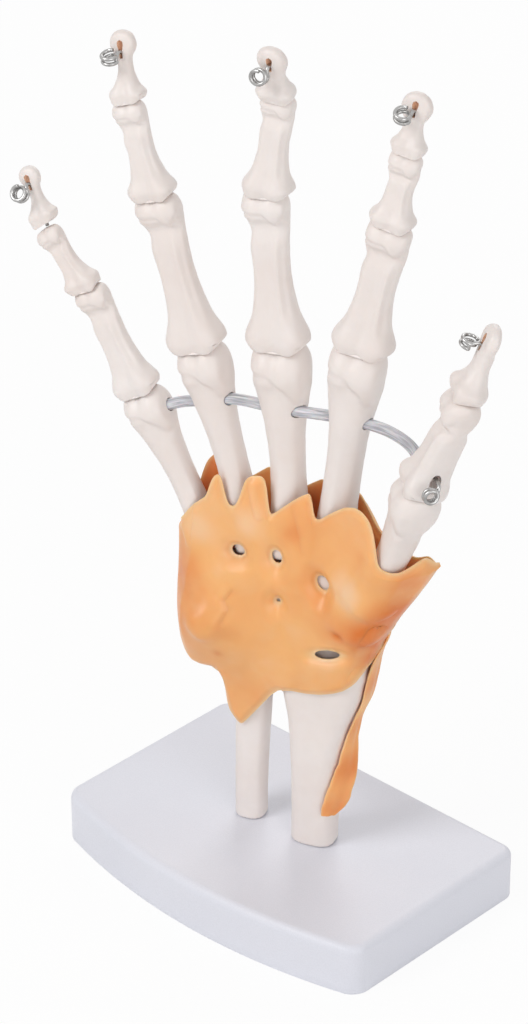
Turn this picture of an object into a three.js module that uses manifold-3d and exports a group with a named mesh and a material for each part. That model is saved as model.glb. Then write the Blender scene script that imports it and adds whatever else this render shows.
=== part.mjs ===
// A life-size model of the bones of a right hand, standing on a moulded stand.
// Each finger is strung on a steel wire that ends in a curl, a cord ties the metacarpals,
// and two soft ligament sheets wrap the wrist.
// Millimetres, +Z up. +X runs along the stand towards the thumb, and the palm faces -Y.

import * as THREE from 'three';
import { mergeVertices } from 'three/addons/utils/BufferGeometryUtils.js';
import Module from 'manifold-3d';

const wasm = await Module();
wasm.setup();

// The gaps that let pieces move or seat
const GAP = 0.3;
const JOINT_GAP = 0.4;
const WRIST_GAP = 0.6;

// The stand: a rounded slab, hollow underneath, with a bowed front edge
const STAND_LENGTH = 120;
const STAND_WIDTH = 70.5;
const STAND_BOW = 9.2;
const STAND_HEIGHT = 16.6;
const STAND_CORNER = 4.5;
const STAND_FILLET = 2.6;
const STAND_WALL = 2.4;
const STAND_TOP = 3;
const COVER_THICKNESS = 2;
const COVER_LEDGE = 1.5;
const BOSS_RADIUS = 5;
const BOSS_FOOT = 6;
const SCREW_RADIUS = 1.75;
const SCREW_HEAD_RADIUS = 3.4;
const SCREW_HEAD_HEIGHT = 2.2;
const SCREW_BITE = 14;
const SCREW_POINT = 1.5;

// The hand stands over this point of the stand, turned so that the palm looks to its front
const HAND_PLACE = { x: 6, y: -1 };
const HAND_TURN = THREE.MathUtils.degToRad(20);

// The wires, each in its bore, and the curls they end in: how far the curl's middle lies
// below the hole that its wire comes out of, and where along the last bone that hole is
const WIRE_RADIUS = 0.55;
const BORE_RADIUS = WIRE_RADIUS + GAP;
const METACARPAL_BORE_DEPTH = 11;
const CURL_RADIUS = 1.95;
const CURL_PITCH = 1.55;
const CURL_TURNS = 2;
const CURL_DROP = 1.5;
const CURL_SHARE = 0.66;
const SLOT_END_SHARE = 0.86;

// The cord that ties the metacarpals
const CORD_RADIUS = 1.65;

// The ligament sheets
const SHEET_THICKNESS = 1.3;

// How finely bones, wires, curls and sheets are faceted
const SIDES = 12;
const WRIST_BONE_SIDES = 16;
const WIRE_SIDES = 6;
const CORD_SIDES = 8;
const CURL_STEPS = 10;
const SHEET_COLUMNS = 26;
const SHEET_ROWS = 14;
const PROBE_STEP = 1.4;

// The wrist bends about a line across the hand, at this height over the table. Every place
// on the hand and forearm is given up or down from that line. Round it the near row of wrist
// bones is a barrel: widest at its middle, and rounded off towards both sides.
const WRIST_HEIGHT = 92;
const WRIST = { radius: 12.6, middle: -1, rounding: 0.0082 };

// The bones of each finger, from the wrist outwards. Lengths run from joint face to joint
// face. Splay is the lean towards the thumb and tilt the lean towards the palm, in degrees.
// Half widths run across the finger. A head's radius is seen from the side of the finger.
const FINGERS = {
  little: {
    root: { across: -26, palm: 1, up: 16 },
    facing: 0,
    metacarpal: {
      length: 53.4, splay: -25.8, tilt: 1, base: [5.2, 5.4], waist: [4.1, 4.2],
      head: 6.8, headRadius: 6.6,
    },
    proximal: {
      length: 33.2, splay: -26.6, tilt: 1.7, base: [7, 5], waist: [4.3, 3.4],
      head: 5.4, headRadius: 4,
    },
    middle: {
      length: 19.6, splay: -37.8, tilt: 0, base: [5.4, 4], waist: [3, 2.5],
      head: 4.2, headRadius: 3,
    },
    distal: {
      length: 16.7, splay: -22.8, tilt: -6, base: [4.4, 3.1], waist: [1.9, 1.9],
      tuft: [3.3, 2.1], curlTilt: 30, slack: 1.2,
    },
  },
  ring: {
    root: { across: -15, palm: -1, up: 17.5 },
    facing: 0,
    metacarpal: {
      length: 66.3, splay: -14.3, tilt: 1, base: [4.6, 6], waist: [4.7, 4.8],
      head: 7.4, headRadius: 7.6,
    },
    proximal: {
      length: 45.2, splay: -15.6, tilt: 1.2, base: [8.4, 6], waist: [5, 4],
      head: 6.9, headRadius: 4.9,
    },
    middle: {
      length: 27.1, splay: -16.7, tilt: 0, base: [6.9, 4.8], waist: [3.9, 3.1],
      head: 5, headRadius: 3.5,
    },
    distal: {
      length: 19.3, splay: -8.8, tilt: -8, base: [5.2, 3.6], waist: [2.2, 2],
      tuft: [3.9, 2.3], curlTilt: 75,
    },
  },
  middle: {
    root: { across: -3.6, palm: -2, up: 18 },
    facing: 0,
    metacarpal: {
      length: 68.8, splay: -2.8, tilt: 1, base: [5.9, 7.4], waist: [5.3, 5.4],
      head: 8.3, headRadius: 8.4,
    },
    proximal: {
      length: 45.8, splay: -4.4, tilt: 1.8, base: [8.9, 6.2], waist: [5.2, 4.1],
      head: 6.9, headRadius: 5,
    },
    middle: {
      length: 29.2, splay: 7.1, tilt: 1, base: [7.1, 5], waist: [4.2, 3.2],
      head: 5.1, headRadius: 3.6,
    },
    distal: {
      length: 15.9, splay: 0.8, tilt: 17, base: [5.4, 3.7], waist: [3.1, 2.2],
      tuft: [4.4, 2.4], curlTilt: 25,
    },
  },
  index: {
    root: { across: 9, palm: -1, up: 21 },
    facing: 0,
    metacarpal: {
      length: 70.8, splay: 7, tilt: 1, base: [5.7, 7.2], waist: [5.5, 5.4],
      head: 8.1, headRadius: 8.2,
    },
    proximal: {
      length: 39.9, splay: 12.5, tilt: 2.1, base: [8.6, 6], waist: [5.3, 4],
      head: 6.6, headRadius: 4.8,
    },
    middle: {
      length: 21.2, splay: 11.1, tilt: 0, base: [6.3, 4.7], waist: [3.8, 3],
      head: 4.8, headRadius: 3.5,
    },
    distal: {
      length: 16.6, splay: 7.9, tilt: -8, base: [4.9, 3.5], waist: [2.7, 2.1],
      tuft: [4.4, 2.3], curlTilt: 65,
    },
  },
  thumb: {
    root: { across: 24.4, palm: 8, up: 14 },
    facing: -58,
    metacarpal: {
      length: 49.4, splay: 21.6, tilt: 8.1, base: [6.4, 6.2], waist: [5, 4.8],
      head: 7.4, headRadius: 7.4,
    },
    proximal: {
      length: 32.7, splay: 21.9, tilt: 1.7, base: [7.8, 6.4], waist: [4.8, 5.2],
      head: 6.4, headRadius: 5.6, knuckleCurl: { up: 5.6, tilt: 20 },
    },
    distal: {
      length: 21.4, splay: 19.1, tilt: -6.9, base: [6.6, 4.8], waist: [3.3, 2.7],
      tuft: [4.8, 2.4], curlTilt: 90,
    },
  },
};

// Where the cord runs, from inside the little finger's metacarpal to inside the thumb's
const CORD_ROUTE = [
  { across: -44.6, palm: 2.4, up: 58.6 },
  { across: -41.2, palm: 2, up: 60.2 },
  { across: -36.6, palm: 0.4, up: 61.6 },
  { across: -32.2, palm: -0.8, up: 62.2 },
  { across: -26.6, palm: 0.2, up: 64 },
  { across: -21, palm: 1.6, up: 66.4 },
  { across: -17, palm: 0.4, up: 66 },
  { across: -13, palm: -0.8, up: 65.2 },
  { across: -6.6, palm: 0.4, up: 66 },
  { across: -0.8, palm: 1.8, up: 66.8 },
  { across: 3.8, palm: 0.4, up: 66.4 },
  { across: 8.6, palm: -0.8, up: 66 },
  { across: 14.4, palm: 0.4, up: 67 },
  { across: 19.6, palm: 1.6, up: 67.4 },
  { across: 27, palm: 1, up: 65.8 },
  { across: 33.6, palm: 1.6, up: 62.8 },
  { across: 37.6, palm: 3.6, up: 58.4 },
  { across: 38.8, palm: 6.8, up: 52.8 },
  { across: 38, palm: 10.4, up: 47.6 },
];

// The eight wrist bones as the palm shows them: corners across and up, and the depth from
// the back of the hand to the palm
const WRIST_BONES = {
  scaphoid: {
    corners: [
      [2, 0.6], [3.4, 7.2], [10, 4.2], [18.4, -0.6], [24, -1.4], [24.4, -7], [16, -12], [5.4, -13],
      [2.6, -8],
    ],
    back: -7.5, palm: 7.5,
  },
  lunate: {
    corners: [[1.4, -0.2], [1.9, -7.6], [4.6, -13], [-9.6, -12.6], [-11, -7], [-10.8, 0], [-5, -2.6]],
    back: -8, palm: 8.5,
  },
  triquetrum: {
    corners: [[-11.6, -0.4], [-11.8, -7], [-16, -10.6], [-27, -8], [-31, -1], [-30, 4.4], [-18, -2]],
    back: -7.5, palm: 6,
  },
  trapezium: {
    corners: [[15.6, 16.2], [29.4, 10.2], [28, 2], [20, 0.2], [12, 5], [15.2, 11.8]],
    back: -2, palm: 12.5,
  },
  trapezoid: {
    corners: [[3.4, 18.2], [3.6, 20], [14.4, 20.2], [14.6, 12.4], [10.8, 5.6], [3.2, 8.6]],
    back: -8, palm: 6.5,
  },
  capitate: {
    corners: [[-9.8, 16.8], [2.6, 17.2], [2.4, 8.6], [0.8, 1.4], [-5, -1.4], [-10.4, 1.4]],
    back: -9.5, palm: 7,
  },
  hamate: {
    corners: [[-32, 13], [-10.6, 16.2], [-11.2, 1], [-18, -0.8], [-30, 5.6]],
    back: -8, palm: 9.5,
  },
};
const PISIFORM = { across: -24.6, palm: 11.4, up: -1.5, half: [4.6, 5.2, 4.4] };
const WRIST_BONE_GAP = 0.35;

// The two forearm bones: the middle of each section, its half width across and its half
// depth. The first section stands on the stand.
const RADIUS_SECTIONS = [
  { across: 5.6, palm: 2.7, half: 6.8, depth: 5.6 },
  { up: -63.1, across: 5.8, palm: 2.6, half: 6.9, depth: 5.9 },
  { up: -47.1, across: 6.2, palm: 2.4, half: 7.6, depth: 6.4 },
  { up: -33.1, across: 7.2, palm: 2, half: 9.6, depth: 7.2 },
  { up: -23.1, across: 8, palm: 1.4, half: 12.2, depth: 8.4 },
  { up: -16.1, across: 8.5, palm: 0.6, half: 13.4, depth: 9.2 },
];
const ULNA_SECTIONS = [
  { across: -17, palm: -1.9, half: 4.6, depth: 4.6 },
  { up: -61.1, across: -16.9, palm: -1.9, half: 4.7, depth: 4.7 },
  { up: -45.1, across: -16.4, palm: -2, half: 5, depth: 5 },
  { up: -29.1, across: -15.8, palm: -2, half: 5.6, depth: 5.6 },
  { up: -20.1, across: -15.4, palm: -2, half: 6.8, depth: 7 },
];
const FOREARM_RIM = 0.9;
const ULNA_RECESS = 1.6;

// The edges of the palm-side sheet, from the little finger's side to the thumb's: how far
// up it ends between and over the fingers, and how far down it reaches over the forearm
const SHEET_LEFT = -38.6;
const SHEET_TOP = [
  [-38.6, 20], [-36.2, 27.7], [-31.5, 31.2], [-27.8, 35], [-25.7, 42.9], [-22.7, 40.4], [-20.3, 33],
  [-16.8, 39], [-13.2, 44.2], [-11.6, 44], [-8.4, 32.4], [-2, 37.5], [4.6, 43.4], [7, 34.8],
  [12, 37.5], [18, 42], [20.4, 39], [24.8, 31], [28.6, 28.3], [32.6, 28.5], [38, 32], [41.2, 32],
  [43.5, 28],
];
const SHEET_BOTTOM = [
  [-38.6, -18.5], [-34.5, -20.4], [-29, -21.7], [-25.5, -21.2], [-24, -22.6], [-23, -30],
  [-21.6, -36], [-17.2, -40.2], [-12.2, -33.9], [-6.5, -26.2], [-3.2, -22.7], [2.2, -19.9],
  [12, -20.1], [20.2, -16.2], [22.3, -13.6], [24, -8.6], [27, -0.3], [32, 9], [36.4, 15.9],
  [40.5, 23], [43.5, 27],
];
// The same edges of the sheet on the back of the hand
const BACK_TOP = [
  [-38.6, 20], [-36, 26], [-33.5, 34], [-31.5, 41], [-29, 44], [-26, 41], [-22, 36], [-18, 38],
  [-13, 42], [-9, 36], [-4, 36], [3, 41], [7, 38], [15, 39.6], [18, 37], [21.9, 32.2], [26, 29],
  [31, 28], [36, 28], [40, 30], [43.5, 28],
];
const BACK_BOTTOM = [
  [-38.6, -18], [-34, -22], [-26, -27], [-16, -31], [-8, -34], [-3, -36], [4, -34], [13, -31],
  [18, -26], [21.5, -16], [24, -8.6], [27, -0.3], [32, 9], [36.4, 15.9], [40.5, 23], [43.5, 27],
];

// The sheets meet in a seam along both sides of the hand. This is the seam's place towards
// the palm, how far out the thumb side reaches at each height, and how far each sheet
// bulges from the seam.
const SHEET_SEAM = [[-38.6, 0], [0, 0], [24, 2.5], [41, 4]];
const SHEET_RIGHT = [[-32, 21], [-13.6, 22.6], [-8.6, 24], [-0.3, 27], [9, 32], [15.9, 36.4], [28, 43.5]];
const PALM_BULGE = [[-44, 2], [-26, 5], [-12, 8], [8, 9], [23, 7.5], [38, 4.5]];
const BACK_BULGE = [[-44, 3], [-26, 6], [-12, 8], [8, 8.6], [23, 7], [38, 4.5]];

// The openings in the palm-side sheet: middle, half sizes across and up, and turn
const SHEET_HOLES = [
  { across: -18.4, up: 18.6, half: [2, 1.8], turn: 0 },
  { across: -5.2, up: 19.6, half: [1.6, 2.1], turn: 10 },
  { across: 9.6, up: 16.2, half: [1.8, 2.4], turn: 20 },
  { across: 12.3, up: -5.5, half: [4, 1.5], turn: 14 },
];

// The long strap of the back sheet, which follows the thumb side of the radius down and
// comes round to its front: the middle of each section, its half width, and which way it
// faces, in degrees from the thumb side towards the palm
const STRAP = [
  { up: -1, across: 27, palm: -1.4, half: 3, facing: -28 },
  { up: -6, across: 25.6, palm: -1.4, half: 3.8, facing: -14 },
  { up: -11.3, across: 23.4, palm: 0, half: 4.2, facing: 0 },
  { up: -19.1, across: 22.2, palm: 1, half: 4, facing: 4 },
  { up: -24.2, across: 21, palm: 1, half: 3.7, facing: 4 },
  { up: -28.6, across: 19.4, palm: 2.3, half: 2.8, facing: 6 },
  { up: -36.5, across: 17.4, palm: 3, half: 3.2, facing: 17 },
  { up: -46.6, across: 16.3, palm: 4.2, half: 3.6, facing: 38 },
  { up: -53.5, across: 15.1, palm: 6.1, half: 4, facing: 52 },
  { up: -59.6, across: 13.5, palm: 7.3, half: 3.6, facing: 58 },
  { up: -62.2, across: 12.1, palm: 8.1, half: 2, facing: 60 },
];

// The finishes
const finish = (color, roughness, metalness = 0) =>
  new THREE.MeshStandardMaterial({ color, roughness, metalness });
const BONE = finish(0xece4de, 0.45);
const STAND = finish(0xdcdce4, 0.35);
const LIGAMENT = finish(0xf0a860, 0.4);
const CORD = finish(0xb4b6c0, 0.35);
const STEEL = finish(0x9a9896, 0.25, 1);

const radians = THREE.MathUtils.degToRad;
const vector = (x, y, z) => new THREE.Vector3(x, y, z);

// A place on the hand, given across towards the thumb, towards the palm, and up from the
// wrist's line
const spot = ({ across, palm, up }) => vector(across, -palm, up);

// The value at x of a line through the given pairs
function along(pairs, x) {
  const after = pairs.findIndex(([x1]) => x <= x1);
  if (after <= 0) {
    return after === 0 ? pairs[0][1] : pairs.at(-1)[1];
  }
  const [x0, y0] = pairs[after - 1];
  const [x1, y1] = pairs[after];
  return THREE.MathUtils.lerp(y0, y1, (x - x0) / (x1 - x0));
}

// Gives a body its faces, turned outwards
function bodyOf(points, faces) {
  let volume = 0;
  for (let k = 0; k < faces.length; k += 3) {
    const [a, b, c] = [points[faces[k]], points[faces[k + 1]], points[faces[k + 2]]];
    volume += a.dot(b.clone().cross(c));
  }
  const outwards = volume > 0 ? faces : faces.slice().reverse();
  const geometry = new THREE.BufferGeometry();
  const places = points.flatMap((p) => p.toArray());
  geometry.setAttribute('position', new THREE.Float32BufferAttribute(places, 3));
  geometry.setIndex(outwards);
  return geometry;
}

const middleOf = (points) =>
  points.reduce((sum, p) => sum.add(p), vector(0, 0, 0)).divideScalar(points.length);

// Joins rings of equal count into one closed body. Its ends meet when it loops, as round a
// bore, and otherwise each end closes on a point.
function skin(rings, { loop = false, first = null, last = null } = {}) {
  const sides = rings[0].length;
  const points = rings.flat();
  const faces = [];
  const joins = loop ? rings.length : rings.length - 1;
  for (let ring = 0; ring < joins; ring++) {
    const next = (ring + 1) % rings.length;
    for (let side = 0; side < sides; side++) {
      const beside = (side + 1) % sides;
      const corner = ring * sides + side;
      const right = ring * sides + beside;
      const above = next * sides + side;
      const across = next * sides + beside;
      faces.push(corner, right, across, corner, across, above);
    }
  }
  if (!loop) {
    const end = (rings.length - 1) * sides;
    points.push(first ?? middleOf(rings[0]), last ?? middleOf(rings.at(-1)));
    for (let side = 0; side < sides; side++) {
      const beside = (side + 1) % sides;
      faces.push(points.length - 2, beside, side);
      faces.push(points.length - 1, end + side, end + beside);
    }
  }
  return bodyOf(points, faces);
}

// Turns a closed body into a solid that can be joined and cut
function solid(geometry) {
  const bare = new THREE.BufferGeometry();
  bare.setAttribute('position', geometry.getAttribute('position'));
  bare.setIndex(geometry.getIndex());
  const merged = mergeVertices(bare, 1e-4);
  return new wasm.Manifold(new wasm.Mesh({
    numProp: 3,
    vertProperties: new Float32Array(merged.getAttribute('position').array),
    triVerts: new Uint32Array(merged.getIndex().array),
  }));
}

function geometryOf(part) {
  const { vertProperties, triVerts } = part.getMesh();
  const geometry = new THREE.BufferGeometry();
  geometry.setAttribute('position', new THREE.BufferAttribute(vertProperties, 3));
  geometry.setIndex(new THREE.BufferAttribute(triVerts, 1));
  return geometry;
}

const cut = (geometry, ...tools) =>
  geometryOf(tools.reduce((rest, tool) => rest.subtract(solid(tool)), solid(geometry)));
const join = (geometry, ...others) =>
  geometryOf(others.reduce((sum, other) => sum.add(solid(other)), solid(geometry)));

// Places a bone: its length runs along +Y, its palm side faces +Z and its thumb side +X
function standOn(origin, direction, palm) {
  const across = direction.clone().cross(palm).normalize();
  const front = across.clone().cross(direction).normalize();
  return new THREE.Matrix4().makeBasis(across, direction, front).setPosition(origin);
}

// One section of a bone: a rounded oblong, squarer on the palm side than on the back
const BACK_SQUARENESS = 2.1;
function section(y, half, palm, back, square = 2.3, shiftX = 0, shiftZ = 0) {
  const ring = [];
  for (let side = 0; side < SIDES; side++) {
    const angle = (2 * Math.PI * side) / SIDES;
    const cos = Math.cos(angle);
    const sin = Math.sin(angle);
    const power = 2 / (sin > 0 ? square : BACK_SQUARENESS);
    const depth = sin > 0 ? palm : back;
    ring.push(vector(
      shiftX + half * Math.sign(cos) * Math.abs(cos) ** power,
      y,
      shiftZ + depth * Math.sign(sin) * Math.abs(sin) ** power,
    ));
  }
  return ring;
}

// A round ring about the bone's own length, for a bore
const boreRing = (y, radius) => section(y, radius, radius, radius, 2);

// The hollow end of a phalanx, which rides on the head before it. The socket's floor keeps
// the joint gap to that head at every angle, because both are turned about one line, the
// hinge, whose direction is given as the phalanx sees it.
const CUP_ANGLE = 46;
const CUP_WALL = 0.7;
const CUP_RIM = 1;
const SHOULDER_RISE = 2.6;
function socketRings(base, cupRadius, hinge) {
  const [half, depth] = base;
  const cupDepth = Math.min(cupRadius * Math.sin(radians(CUP_ANGLE)), depth - CUP_WALL);
  const rimDepth = (depth + cupDepth) / 2;
  const floorAt = (x, depthHere) => {
    const z = THREE.MathUtils.clamp(depthHere, -cupDepth, cupDepth);
    const onHinge = hinge.x * x + hinge.z * z;
    const a = 1 - hinge.y ** 2;
    const b = -2 * hinge.y * onHinge;
    const c = x ** 2 + z ** 2 - onHinge ** 2 - cupRadius ** 2;
    return (-b + Math.sqrt(b ** 2 - 4 * a * c)) / (2 * a);
  };
  const onCup = (ring, lift = 0) => ring.map((p) => vector(p.x, floorAt(p.x, p.z) + lift, p.z));
  const shoulder = floorAt(0, cupDepth) + SHOULDER_RISE;
  const lean = (x) => 0.6 * (floorAt(x, 0) - floorAt(0, 0));
  return {
    shoulder,
    rings: [
      onCup(boreRing(0, BORE_RADIUS)),
      onCup(section(0, half * 0.62, cupDepth * 0.62, cupDepth * 0.62)),
      onCup(section(0, half * 0.88, cupDepth, cupDepth, 2.6)),
      onCup(section(0, half * 0.97, rimDepth + 0.2, rimDepth, 2.8), CUP_RIM),
      section(shoulder, half, depth, depth * 0.97, 2.8).map((p) => vector(p.x, p.y + lean(p.x), p.z)),
    ],
  };
}

// The head of a bone: every point lies inside a cylinder about its joint's line
const HEAD_ANGLES = [-28, 8, 38, 62];
const HEAD_DIP = 0.97;
function headRings(y, half, radius) {
  const rings = HEAD_ANGLES.map((degrees) => {
    const angle = radians(degrees);
    const depth = radius * Math.cos(angle);
    const width = half * (degrees > 0 ? Math.cos(angle) ** 0.3 : 0.97);
    return section(y + radius * Math.sin(angle), width, depth, depth, 2.5);
  });
  return [...rings, boreRing(y + radius * HEAD_DIP, BORE_RADIUS)];
}

// One section of a shaft, between a thick end and a thin one. The shares say how far it has
// come to the thin one in width, on the palm side and on the back.
function between(y, thick, thin, [width, palm, back], square) {
  const mix = THREE.MathUtils.lerp;
  return section(y, mix(thick[0], thin[0], width), mix(thick[1], thin[1], palm),
    mix(thick[1], thin[1], back), square);
}

// A phalanx with a bore from its socket to its head. Its joint's line is at y = 0.
function phalanx(bone, cupRadius, hinge) {
  const { shoulder, rings } = socketRings(bone.base, cupRadius, hinge);
  const [, waistDepth] = bone.waist;
  const joint = cupRadius + bone.length - bone.headRadius;
  const room = joint - bone.headRadius - shoulder;
  const neck = (share) => THREE.MathUtils.lerp(bone.waist[0], bone.head, share);
  rings.push(
    between(shoulder + room * 0.24, bone.base, bone.waist, [0.62, 0.6, 0.55], 2.7),
    section(shoulder + room * 0.55, bone.waist[0], waistDepth * 0.92, waistDepth * 1.06, 2.9),
    section(shoulder + room * 0.85, neck(0.3), waistDepth * 0.85, waistDepth, 2.8),
    section(joint - bone.headRadius * 0.85, neck(0.72), bone.headRadius * 0.5, bone.headRadius * 0.7),
    ...headRings(joint, bone.head, bone.headRadius),
  );
  return { geometry: skin(rings, { loop: true }), joint };
}

// A metacarpal: a blocky foot, a waisted shaft and a round head with a blind bore
function metacarpal(bone) {
  const [half, depth] = bone.base;
  const [waist, waistDepth] = bone.waist;
  const joint = bone.length - bone.headRadius;
  const room = joint - bone.headRadius;
  const neck = (share) => THREE.MathUtils.lerp(waist, bone.head, share);
  const rings = [
    section(0.6, half * 0.8, depth * 0.8, depth * 0.8, 2.8),
    section(2, half, depth, depth, 3),
    between(room * 0.16, bone.base, bone.waist, [0.35, 0.3, 0.25], 2.6),
    between(room * 0.34, bone.base, bone.waist, [0.85, 0.8, 0.7], 2.4),
    section(room * 0.6, waist, waistDepth * 0.85, waistDepth * 1.1, 2.2),
    section(room * 0.84, neck(0.3), waistDepth, waistDepth * 1.15, 2.2),
    section(joint - bone.headRadius * 0.9, neck(0.74), bone.headRadius * 0.74, bone.headRadius * 0.66),
    ...headRings(joint, bone.head, bone.headRadius),
    boreRing(bone.length - METACARPAL_BORE_DEPTH, BORE_RADIUS),
  ];
  return { geometry: skin(rings), joint };
}

// The last bone: it narrows to a neck and spreads to a flat round tuft
function distalBone(bone, cupRadius, hinge, wirePath, slot) {
  const { shoulder, rings } = socketRings(bone.base, cupRadius, hinge);
  const [tuft, tuftDepth] = bone.tuft;
  const tip = cupRadius + bone.length;
  const room = tip - shoulder;
  const closed = rings.slice(1);
  closed.push(
    between(shoulder + room * 0.16, bone.base, bone.waist, [0.55, 0.5, 0.5], 2.4),
    between(shoulder + room * 0.4, bone.base, bone.waist, [1, 1, 1], 2.2),
    between(shoulder + room * 0.6, bone.waist, bone.tuft, [0.5, 0.6, 0.5], 2.2),
    section(shoulder + room * 0.78, tuft, tuftDepth, tuftDepth * 0.8, 2.2),
    section(shoulder + room * 0.92, tuft * 0.84, tuftDepth * 0.9, tuftDepth * 0.65, 2.2),
    section(tip - GAP, tuft * 0.4, tuftDepth * 0.5, tuftDepth * 0.35, 2),
  );
  const shape = skin(closed, { first: vector(0, cupRadius, 0), last: vector(0, tip, 0) });
  return cut(shape, rod(wirePath, BORE_RADIUS, WIRE_SIDES), slot);
}

// A round rod along the points of a path, square at its ends
function rod(path, radius, sides) {
  const rings = [];
  let normal = null;
  path.forEach((point, k) => {
    const before = path[Math.max(k - 1, 0)];
    const after = path[Math.min(k + 1, path.length - 1)];
    const tangent = after.clone().sub(before).normalize();
    const guide = normal ?? (Math.abs(tangent.z) < 0.9 ? vector(0, 0, 1) : vector(1, 0, 0));
    normal = guide.clone().addScaledVector(tangent, -guide.dot(tangent)).normalize();
    const side = tangent.clone().cross(normal);
    const ring = [];
    for (let step = 0; step < sides; step++) {
      const angle = (2 * Math.PI * step) / sides;
      ring.push(point.clone()
        .addScaledVector(normal, radius * Math.cos(angle))
        .addScaledVector(side, radius * Math.sin(angle)));
    }
    rings.push(ring);
  });
  return skin(rings);
}

// The least clear distance between stretches of a curl that lie a turn or more apart
function leastGap(path, radius, apart) {
  let least = Infinity;
  for (let a = 0; a < path.length; a++) {
    for (let b = a + apart; b < path.length; b++) {
      least = Math.min(least, path[a].distanceTo(path[b]) - 2 * radius);
    }
  }
  return least;
}

// The turns of a curl about a middle. The wire comes down to its first point, on the side.
function curlPoints(middle, axis, side) {
  const down = side.clone().cross(axis).normalize();
  const points = [];
  for (let step = 0; step <= CURL_TURNS * CURL_STEPS - 2; step++) {
    const angle = (2 * Math.PI * step) / CURL_STEPS;
    points.push(middle.clone()
      .addScaledVector(side, CURL_RADIUS * Math.cos(angle))
      .addScaledVector(down, CURL_RADIUS * Math.sin(angle))
      .addScaledVector(axis, (CURL_PITCH * step) / CURL_STEPS));
  }
  const least = leastGap(points, WIRE_RADIUS, CURL_STEPS - 2);
  console.log(`wire curl: least gap to itself ${least.toFixed(2)} mm`);
  return points;
}

// A wire that leaves a bone through its face, turns down and ends in a curl just in front.
// Its own stretch inside the bone comes first. The tilt turns the curl's line from straight
// out of the bone towards its tip.
function curledWire(inside, exitY, surface, tilt) {
  const lean = radians(tilt);
  const axis = vector(0, Math.sin(lean), Math.cos(lean));
  const standOff = WIRE_RADIUS + GAP + CURL_RADIUS * Math.sin(lean);
  const middle = vector(-CURL_RADIUS, exitY - CURL_DROP, surface + standOff);
  const curl = curlPoints(middle, axis, vector(1, 0, 0));
  const shank = new THREE.CatmullRomCurve3([
    inside.at(-1),
    vector(0, exitY + 0.5, surface * 0.6 + 0.2),
    vector(0, exitY + 1, surface + 0.9),
    vector(0, exitY - 0.4, surface + standOff + 0.2),
    curl[0],
  ]).getPoints(8);
  return [...inside.slice(0, -1), ...shank.slice(0, -1), ...curl];
}

// The slot in front of the wire, open on the palm side
function slotTool(fromY, toY, halfWidth) {
  const tool = new THREE.BoxGeometry(2 * halfWidth, toY - fromY, 8);
  tool.translate(0, (fromY + toY) / 2, 4 - halfWidth);
  return tool;
}

const hand = new THREE.Group();
hand.position.set(HAND_PLACE.x, HAND_PLACE.y, WRIST_HEIGHT);
hand.rotation.z = HAND_TURN;
const model = new THREE.Group();
model.add(hand);

function addPiece(name, geometry, material, parent = hand, place = null) {
  const mesh = new THREE.Mesh(geometry, material);
  mesh.name = name;
  if (place) {
    mesh.applyMatrix4(place);
  }
  parent.add(mesh);
  return mesh;
}

const CORD_STEPS = 34;
const cordPath = new THREE.CatmullRomCurve3(CORD_ROUTE.map(spot)).getPoints(CORD_STEPS);
const cordHole = rod(cordPath, CORD_RADIUS + GAP, CORD_SIDES);
const bones = [];

// Which way a bone points, from its splay and tilt
function directionOf({ splay, tilt }) {
  const level = Math.cos(radians(tilt));
  const across = Math.sin(radians(splay)) * level;
  return vector(across, -Math.sin(radians(tilt)), Math.cos(radians(splay)) * level);
}

// How far a wire stops short of the next bone's wire, on each side of a joint
const WIRE_START = 0.3;
const WIRE_END = 0.1;

// Adds a finger's metacarpal, drilled for the cord, and gives the joint at its head
function addMetacarpal(name, bone, root, palm) {
  const place = standOn(spot(root), directionOf(bone), palm);
  const { geometry, joint } = metacarpal(bone);
  const hole = cordHole.clone().applyMatrix4(place.clone().invert());
  bones.push(addPiece(`${name}_metacarpal`, cut(geometry, hole), BONE, hand, place));
  const stub = [
    vector(0, bone.length - METACARPAL_BORE_DEPTH + GAP, 0),
    vector(0, bone.length - WIRE_END, 0),
  ];
  addPiece(`${name}_metacarpal_wire`, rod(stub, WIRE_RADIUS, WIRE_SIDES), STEEL, hand, place);
  return jointOf(place, joint, bone.headRadius);
}

// A joint's middle, the line that it turns about and the radius of the head there
function jointOf(place, y, headRadius) {
  return {
    centre: vector(0, y, 0).applyMatrix4(place),
    hinge: vector(0, 0, 0).setFromMatrixColumn(place, 0),
    headRadius,
  };
}

// Adds a proximal or middle phalanx and its wire, and gives the joint at its head
function addPhalanx(name, bone, joint, palm) {
  const place = standOn(joint.centre, directionOf(bone), palm);
  const hinge = joint.hinge.clone().transformDirection(place.clone().invert());
  const cupRadius = joint.headRadius + JOINT_GAP;
  const made = phalanx(bone, cupRadius, hinge);
  let shape = made.geometry;
  if (bone.knuckleCurl) {
    shape = addKnuckleCurl(bone, made.geometry, place, cupRadius);
  }
  const mesh = addPiece(`${name}_phalanx`, shape, BONE, hand, place);
  mesh.userData.turnsAt = joint;
  const wire = [
    vector(0, joint.headRadius + WIRE_START, 0),
    vector(0, made.joint + bone.headRadius - WIRE_END, 0),
  ];
  addPiece(`${name}_wire`, rod(wire, WIRE_RADIUS, WIRE_SIDES), STEEL, hand, place);
  return jointOf(place, made.joint, bone.headRadius);
}

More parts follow.
